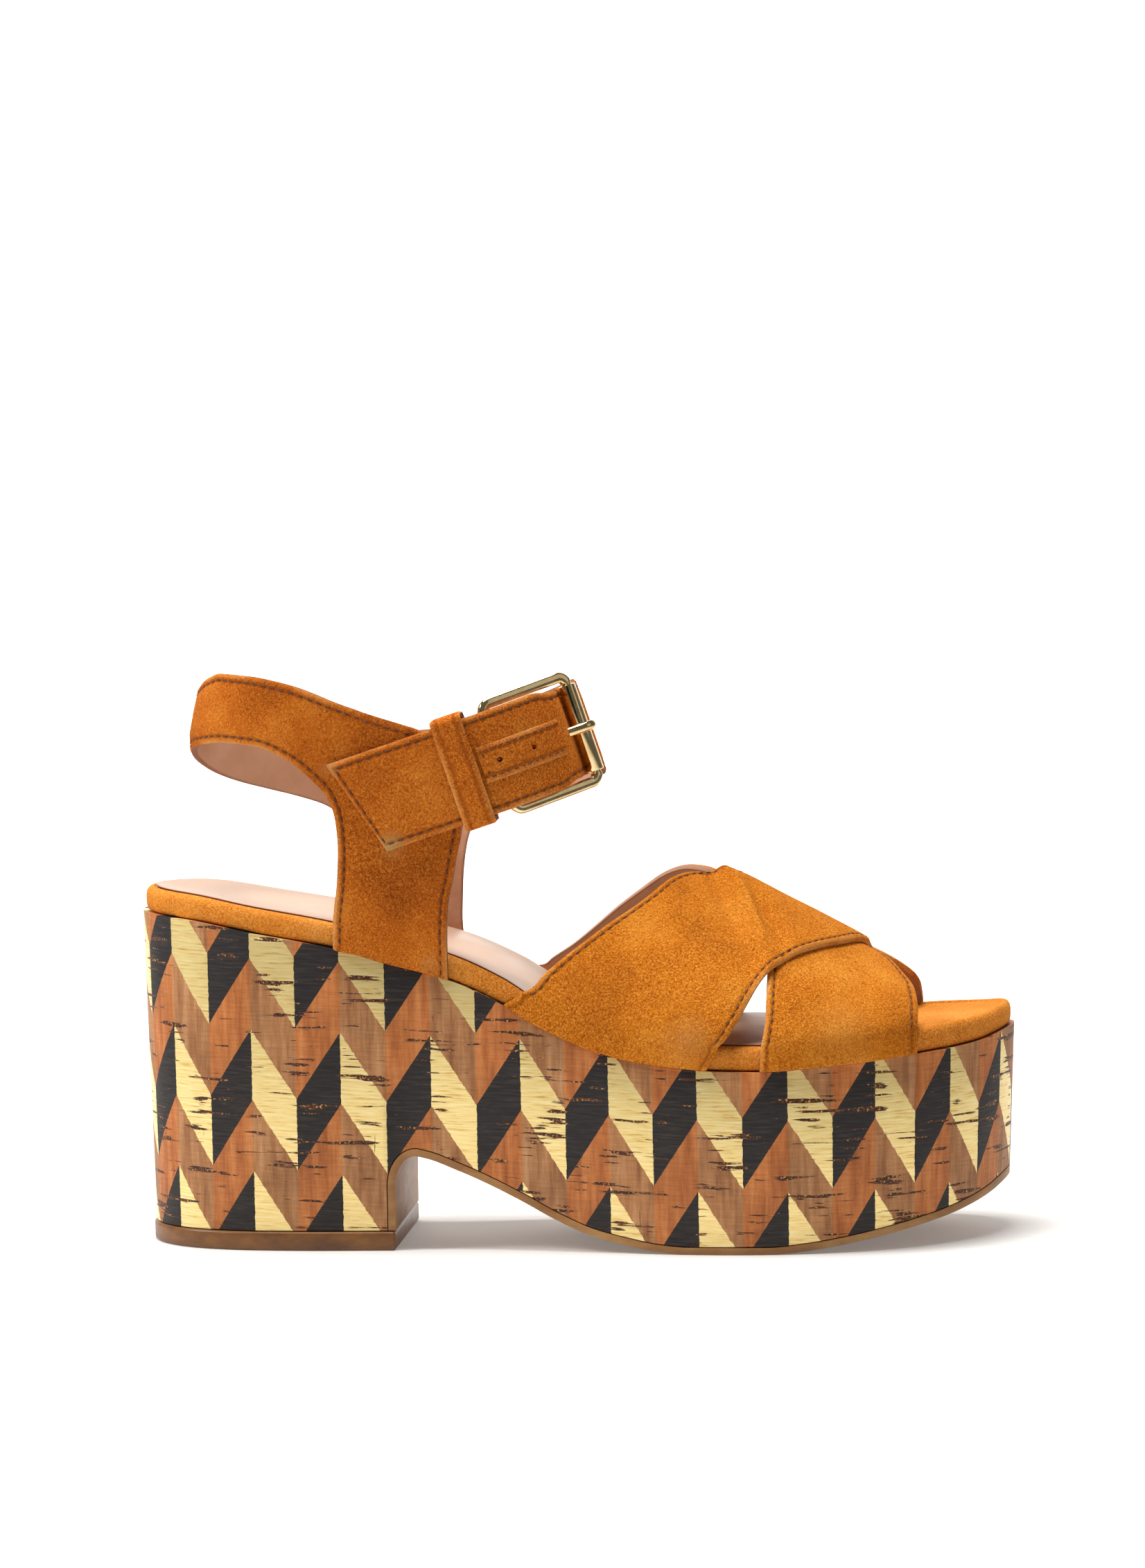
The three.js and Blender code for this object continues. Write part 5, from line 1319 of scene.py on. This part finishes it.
strap_line = spline([*strap_places(ROUND_ANKLE), *[beside_frame(*b) for b in THROUGH_BUCKLE],
                     *strap_places(OVER_QUARTER),
                     [HINGE_P - TAIL_LENGTH - TAIL_SPARE, -STRAP_SEAT]], 0, even=False)
strap_run = lengths(strap_line)
ROLLER_PLACE = beside_frame(BAR_DISTANCE, 0)
tail_from = strap_run[-1] - TAIL_RUN
on_quarter = strap_run > tail_from


def strap_section(s):
    """The strap's place at a length, its way out, its half width and its middle's height."""
    behind, at, ahead = at_length(s + np.array([-0.5, 0, 0.5]), strap_run, strap_line)
    along = unit(ahead - behind)
    away = smooth((np.linalg.norm(at - ROLLER_PLACE) - NARROW_REACH) / NARROWING)
    half = mix(FRAME_OPENING - SIDE_FREEDOM, STRAP_HALF_WIDTH, away)
    level = STRAP_CENTRE - STRAP_FALL * smooth((at[1] + 15) / 45)
    return at, np.array([-along[1], along[0]]), half, level


def tail_end(r):
    """Length along the strap where its slanted end lies, at a height r."""
    slope = TAIL_SLANT / (2 * STRAP_HALF_WIDTH)
    p = HINGE_P - TAIL_LENGTH + TAIL_SLANT / 2 + (STRAP_CENTRE - r) * slope
    return np.interp(-p, -strap_line[on_quarter, 0], strap_run[on_quarter])


strap_shares = np.concatenate([np.linspace(0, 1 - 5.4 / strap_run[-1], 250),
                               1 - EDGE_STEPS[::-1] / strap_run[-1]])
STRAP_ROWS = len(strap_shares)


def strap_at(k, t, lift=LEATHER_WALL / 2, share=None):
    share = strap_shares[k] if share is None else share
    s = share * strap_run[-1]
    _, _, half, level = strap_section(min(s, tail_from))
    r = level + mix(-half, half, t)
    if s > tail_from:
        end = tail_end(r)
        part = (s - tail_from) / (strap_run[-1] - tail_from)
        s_each = tail_from + (end - tail_from) * part
        # Worn leather stands off the quarter at the tail's lower corner
        lift = lift + 2.0 * smooth(part) * (1 - 0.7 * np.asarray(t))
    else:
        s_each = np.full_like(t, s)
    points, outs = [], []
    for s_one, r_one, rise in zip(s_each, r, np.broadcast_to(lift, r.shape)):
        at, normal, _, _ = strap_section(s_one)
        points.append([*(at + normal * rise), r_one])
        outs.append([*normal, 0])
    return from_strap(points), np.array(outs) @ STRAP_AXES


def strap_width(k):
    return 2 * strap_section(min(strap_shares[k] * strap_run[-1], tail_from))[2]


leather_band("buckle_strap", STRAP_ROWS, strap_at, strap_width, 12, LEATHER_WALL,
             ("ankle_strap",), end_gap=lambda k: (1 - strap_shares[k]) * strap_run[-1])
strap_lines = []
for side in (0, 1):
    line, outs = [], []
    for share in np.linspace(0.005, 1 - SEAM_IN / strap_run[-1], 420):
        half = strap_section(min(share * strap_run[-1], tail_from))[2]
        t = SEAM_IN / (2 * half)
        at, out = strap_at(0, np.array([1 - t if side else t]), LEATHER_WALL / 2 - THREAD_SINK,
                           share)
        line.append(at[0])
        outs.append(out[0])
    strap_lines.append((np.array(line), np.array(outs)))
end_t = np.linspace(SEAM_IN / (2 * STRAP_HALF_WIDTH), 1 - SEAM_IN / (2 * STRAP_HALF_WIDTH), 40)
strap_lines.append(strap_at(0, end_t, LEATHER_WALL / 2 - THREAD_SINK, 1 - SEAM_IN / strap_run[-1]))
stitches("buckle_strap_stitches", strap_lines)

# Raised patch round the holes, on the part of the strap that lies over the buckle
on_top = strap_line[:, 1] < -0.6 * STRAP_SEAT
from_hinge = strap_line[:, 0] - HINGE_P
patch_s = strap_run[on_top & (from_hinge > -PATCH_BACK) & (from_hinge < PATCH_FRONT)]
PATCH_ROWS = 44
patch_places = np.linspace(patch_s[0], patch_s[-1], PATCH_ROWS)


def patch_at(k, t, lift=LEATHER_WALL / 2 + PATCH_RISE, s=None):
    at, normal, _, level = strap_section(patch_places[k] if s is None else s)
    r = level + mix(-PATCH_HALF_WIDTH, PATCH_HALF_WIDTH, np.asarray(t))
    points = np.stack([np.full_like(r, at[0] + normal[0] * lift),
                       np.full_like(r, at[1] + normal[1] * lift), r], 1)
    return with_way(points, [*normal, 0])


patch = leather_band("hole_patch", PATCH_ROWS, patch_at, lambda k: 2 * PATCH_HALF_WIDTH, 6,
                     PATCH_RISE - 0.05, seam=0.8)
patch_lines = []
for side in (0, 1):
    t = 1.4 / (2 * PATCH_HALF_WIDTH)
    line = [patch_at(0, [1 - t if side else t], LEATHER_WALL / 2 + PATCH_RISE - 0.1, s)
            for s in np.linspace(patch_s[0] + 0.5, patch_s[-1] - 1.4, 60)]
    patch_lines.append((np.array([at[0] for at, _ in line]), np.array([out[0] for _, out in line])))
patch_lines.append(patch_at(0, np.linspace(0.16, 0.84, 12),
                            LEATHER_WALL / 2 + PATCH_RISE - 0.1, patch_s[-1] - 1.4))
stitches("hole_patch_stitches", patch_lines, pitch=2.2, length=1.6)


# Punched holes
def punch(pieces, centre, way):
    """A round hole right through the pieces."""
    for piece in pieces:
        tool = start("punch", bpy.ops.mesh.primitive_cylinder_add, vertices=20,
                     radius=HOLE_RADIUS * MM, depth=6 * MM)
        turn = Vector(way).to_track_quat("Z", "Y").to_matrix().to_4x4()
        shift = Matrix.Translation(Vector((np.asarray(centre) - MIDDLE) * MM))
        tool.data.transform(shift @ turn)
        carve(piece, tool, "DIFFERENCE")


for back_from_hinge in FREE_HOLES:
    wanted = np.argmin(np.abs(from_hinge - back_from_hinge) + 1000 * ~on_top)
    (at,), (out,) = patch_at(0, [0.5], 0.0, strap_run[wanted])
    punch([patch, bpy.data.objects["buckle_strap"]], at, out)


# Keeper: a loop of suede round the strap and the quarter
def keeper_ring():
    outer = -(STRAP_SEAT + OUTER_BULGE + LEATHER_WALL / 2 + 2 * CLEARANCE) - KEEPER_WALL
    inner = -(ANKLE_HALF_WIDTH + OUTER_BULGE - TAB_WALL - LEATHER_WALL / 2) + KEEPER_WALL
    low = STRAP_CENTRE - STRAP_HALF_WIDTH - 2 * CLEARANCE - KEEPER_WALL
    high = STRAP_CENTRE + STRAP_HALF_WIDTH + 2 * CLEARANCE + KEEPER_WALL
    radius = KEEPER_WALL + KEEPER_ROUND
    places, normals = [], []
    corners = [(inner - radius, low + radius, -90), (inner - radius, high - radius, 0),
               (outer + radius, high - radius, 90), (outer + radius, low + radius, 180)]
    for q, r, begin in corners:
        for turn in np.radians(np.linspace(begin, begin + 90, 9)):
            way = np.array([math.cos(turn), math.sin(turn)])
            places.append(np.array([q, r]) + radius * way)
            normals.append(way)
    places.append(places[0])
    normals.append(normals[0])
    return np.array(places), np.array(normals)


ring_line, ring_ways = keeper_ring()
ring_run = lengths(ring_line)
KEEPER_ROWS = 120


def keeper_at(k, t):
    s = ring_run[-1] * k / (KEEPER_ROWS - 1)
    q, r = at_length(s, ring_run, ring_line)
    way = unit(at_length(s, ring_run, ring_ways))
    t = np.asarray(t)
    bulge = 0.25 * np.sin(math.pi * t) * (1 if way[0] < -0.5 else 0)
    p = HINGE_P - KEEPER_SETBACK + KEEPER_WIDTH * t
    points = np.stack([p, q + way[0] * bulge, r + way[1] * bulge], 1)
    return with_way(points, [0, *way])


leather_band("keeper", KEEPER_ROWS, keeper_at, lambda k: KEEPER_WIDTH, 5, KEEPER_WALL,
             ("keeper_loop",), seam=0.0, closed=True)


# Tab of the quarter, folded round the hinge bar, with its slot for the prong
def tab_path():
    eye = HINGE_RADIUS + CLEARANCE + TAB_WALL / 2
    outer_face = -(ANKLE_HALF_WIDTH + OUTER_BULGE)
    outer_leg, inner_leg = outer_face - LEATHER_WALL / 2, outer_face + TAB_WALL / 2 - 0.2
    path = [[HINGE_P - 10.8, outer_leg], [HINGE_P - 4.8, outer_leg + 0.2]]
    for turn in np.radians(np.linspace(-120, 110, 11)):
        path.append([HINGE_P + eye * math.cos(turn), HINGE_Q + eye * math.sin(turn)])
    return spline(path + [[HINGE_P - 6, inner_leg + 0.4], [HINGE_P - 11.3, inner_leg]], 60)


tab_line = tab_path()
tab_along = unit(np.gradient(tab_line, axis=0))


def tab_at(k, t):
    half = BAR_HALF_LENGTH - SIDE_FREEDOM
    way = np.array([tab_along[k][1], -tab_along[k][0]])
    at = tab_line[k] + way * TAB_WALL / 2
    r = STRAP_CENTRE + mix(-half, half, np.asarray(t))
    points = np.stack([np.full_like(r, at[0]), np.full_like(r, at[1]), r], 1)
    return with_way(points, [*way, 0])


tab = leather_band("buckle_tab", len(tab_line), tab_at,
                   lambda k: 2 * (BAR_HALF_LENGTH - SIDE_FREEDOM), 8, TAB_WALL, seam=0.0)
slot_tool = start("tab_slot", bpy.ops.mesh.primitive_cube_add, size=1)
slot_half = np.array([4.5, 6.0, PRONG_EYE_HALF_WIDTH + 1])
slot_places = np.array([v.co[:] for v in slot_tool.data.vertices]) * 2 * slot_half
place(slot_tool, from_strap(slot_places + [HINGE_P, HINGE_Q, FRAME_CENTRE]))
edit(slot_tool, turn_outwards)
carve(tab, slot_tool, "DIFFERENCE")


# Buckle of cast metal: frame, roller and prong
def from_buckle(points):
    """From the buckle's own frame: along it from the hinge bar, through it, and up its bars."""
    s, through_it, height = np.moveaxis(np.asarray(points, float), -1, 0)
    p = HINGE_P + s * math.cos(FRAME_TURN) - through_it * math.sin(FRAME_TURN)
    q = HINGE_Q + s * math.sin(FRAME_TURN) + through_it * math.cos(FRAME_TURN)
    return from_strap(np.stack([p, q, FRAME_CENTRE + height], -1))


def ring_piece(name, sections):
    """A torus primitive whose sections are laid on a closed row of places."""
    count, sides = sections.shape[:2]
    piece = start(name, bpy.ops.mesh.primitive_torus_add, major_segments=count,
                  minor_segments=sides, major_radius=1, minor_radius=0.2)
    place(piece, sections)
    edit(piece, turn_outwards)
    return piece


def frame_line():
    half = FRAME_HEIGHT / 2 - RAIL_HALF_WIDTH
    corner = FRAME_CORNER
    centres = [(corner, corner - half, 180), (BAR_DISTANCE - corner, corner - half, 270),
               (BAR_DISTANCE - corner, half - corner, 0), (corner, half - corner, 90)]
    line = []
    for x, y, begin in centres:
        for turn in np.radians(np.linspace(begin, begin + 90, 10)):
            line.append([x + corner * math.cos(turn), y + corner * math.sin(turn)])
    line = np.array(line)
    fine = []
    for a, b in zip(line, np.roll(line, -1, 0)):
        steps = max(1, int(np.linalg.norm(b - a) / 1.5))
        fine += [a + (b - a) * i / steps for i in range(steps)]
    return np.array(fine)


line = frame_line()
tangent = unit(np.roll(line, -1, 0) - np.roll(line, 1, 0))
outward = np.stack([tangent[:, 1], -tangent[:, 0]], 1)
SIDES = 20
turns = np.arange(SIDES) * 2 * math.pi / SIDES
sections = np.empty((len(line), SIDES, 3))
for k, (at, way) in enumerate(zip(line, outward)):
    on_bar = smooth((BAR_HALF_LENGTH + 0.8 - abs(at[1])) / 1.2)
    bar = HINGE_RADIUS if at[0] < BAR_DISTANCE / 2 else ROLLER_BAR_RADIUS
    width, depth = mix(RAIL_HALF_WIDTH, bar, on_bar), mix(RAIL_HALF_DEPTH, bar, on_bar)
    # Rails are rounded flats, bars are round
    square = mix(0.55, 1.0, on_bar)
    c, d = np.cos(turns), np.sin(turns)
    c = np.sign(c) * np.abs(c) ** square
    d = np.sign(d) * np.abs(d) ** square
    sections[k, :, 0] = at[0] + way[0] * width * c
    sections[k, :, 1] = depth * d
    sections[k, :, 2] = at[1] + way[1] * width * c
finish_piece(ring_piece("frame_of_buckle", from_buckle(sections)), GOLD, "gold", "buckle_frame",
             angle=60)



def turned(name, profile, count, s):
    """A profile of radii and heights, turned round the bar at a distance from the hinge bar."""
    turns = np.arange(count) * 2 * math.pi / count
    return ring_piece(name, from_buckle(
        [[[s + r * math.cos(a), r * math.sin(a), h] for r, h in profile] for a in turns]))


bore, half = ROLLER_BAR_RADIUS + CLEARANCE, BAR_HALF_LENGTH - CLEARANCE
full = ROLLER_RADIUS + ROLLER_FULLNESS
profile = [[bore, -half + 0.1], [bore + 0.15, -half], [full - 0.3, -half],
           [full - 0.08, -half + 0.1], [full, -half + 0.35], [full, 0], [full, half - 0.35],
           [full - 0.08, half - 0.1], [full - 0.3, half], [bore + 0.15, half], [bore, half - 0.1]]
finish_piece(turned("roller_of_buckle", profile, 48, BAR_DISTANCE), GOLD, "gold",
             "buckle_roller", angle=40)


def rod(name, path, widths, depths, side_way, sides=16):
    """A closed rod along a path, as wide and as deep as given at each place."""
    along = unit(np.gradient(path, axis=0))
    side = unit(np.broadcast_to(side_way, path.shape))
    over = np.cross(along, side)
    turns = np.linspace(0, 2 * math.pi, sides + 1)
    points = (path[:, None] + side[:, None] * (widths[:, None] * np.cos(turns))[:, :, None]
              + over[:, None] * (depths[:, None] * np.sin(turns))[:, :, None])
    piece = grid_piece(name, points)
    edit(piece, merge(0.005), turn_outwards)
    return piece


over = ROLLER_RADIUS + CLEARANCE + PRONG_RADIUS + PRONG_REST
prong_places = [[HINGE_RADIUS + 1.0, 0.1], [0.3 * BAR_DISTANCE, 0.5], [0.51 * BAR_DISTANCE, 1.1],
                [0.7 * BAR_DISTANCE, 1.8], [0.84 * BAR_DISTANCE, 0.8 * over],
                [BAR_DISTANCE, over], [BAR_DISTANCE + PRONG_PAST, over - PRONG_DIP]]
prong_line = spline([[s, -out, 0.0] for s, out in prong_places], 70)
prong_run = lengths(prong_line) / lengths(prong_line)[-1]
taper = np.sqrt(np.clip(1 - ((prong_run - 0.94) / 0.06).clip(0) ** 2, 0, 1))
prong = rod("prong_of_buckle", from_buckle(prong_line), PRONG_SPREAD * PRONG_RADIUS * taper,
            0.85 * PRONG_RADIUS * taper, UPWARD)
inside, outside = HINGE_RADIUS + CLEARANCE, HINGE_RADIUS + CLEARANCE + PRONG_EYE_WALL
h = PRONG_EYE_HALF_WIDTH
profile = [[inside, -h + 0.2], [inside + 0.2, -h], [outside - 0.3, -h], [outside, -h + 0.3],
           [outside, h - 0.3], [outside - 0.3, h], [inside + 0.2, h], [inside, h - 0.2]]
carve(prong, turned("prong_eye", profile, 36, 0.0), "UNION")
finish_piece(prong, GOLD, "gold", "buckle_prong", angle=50)
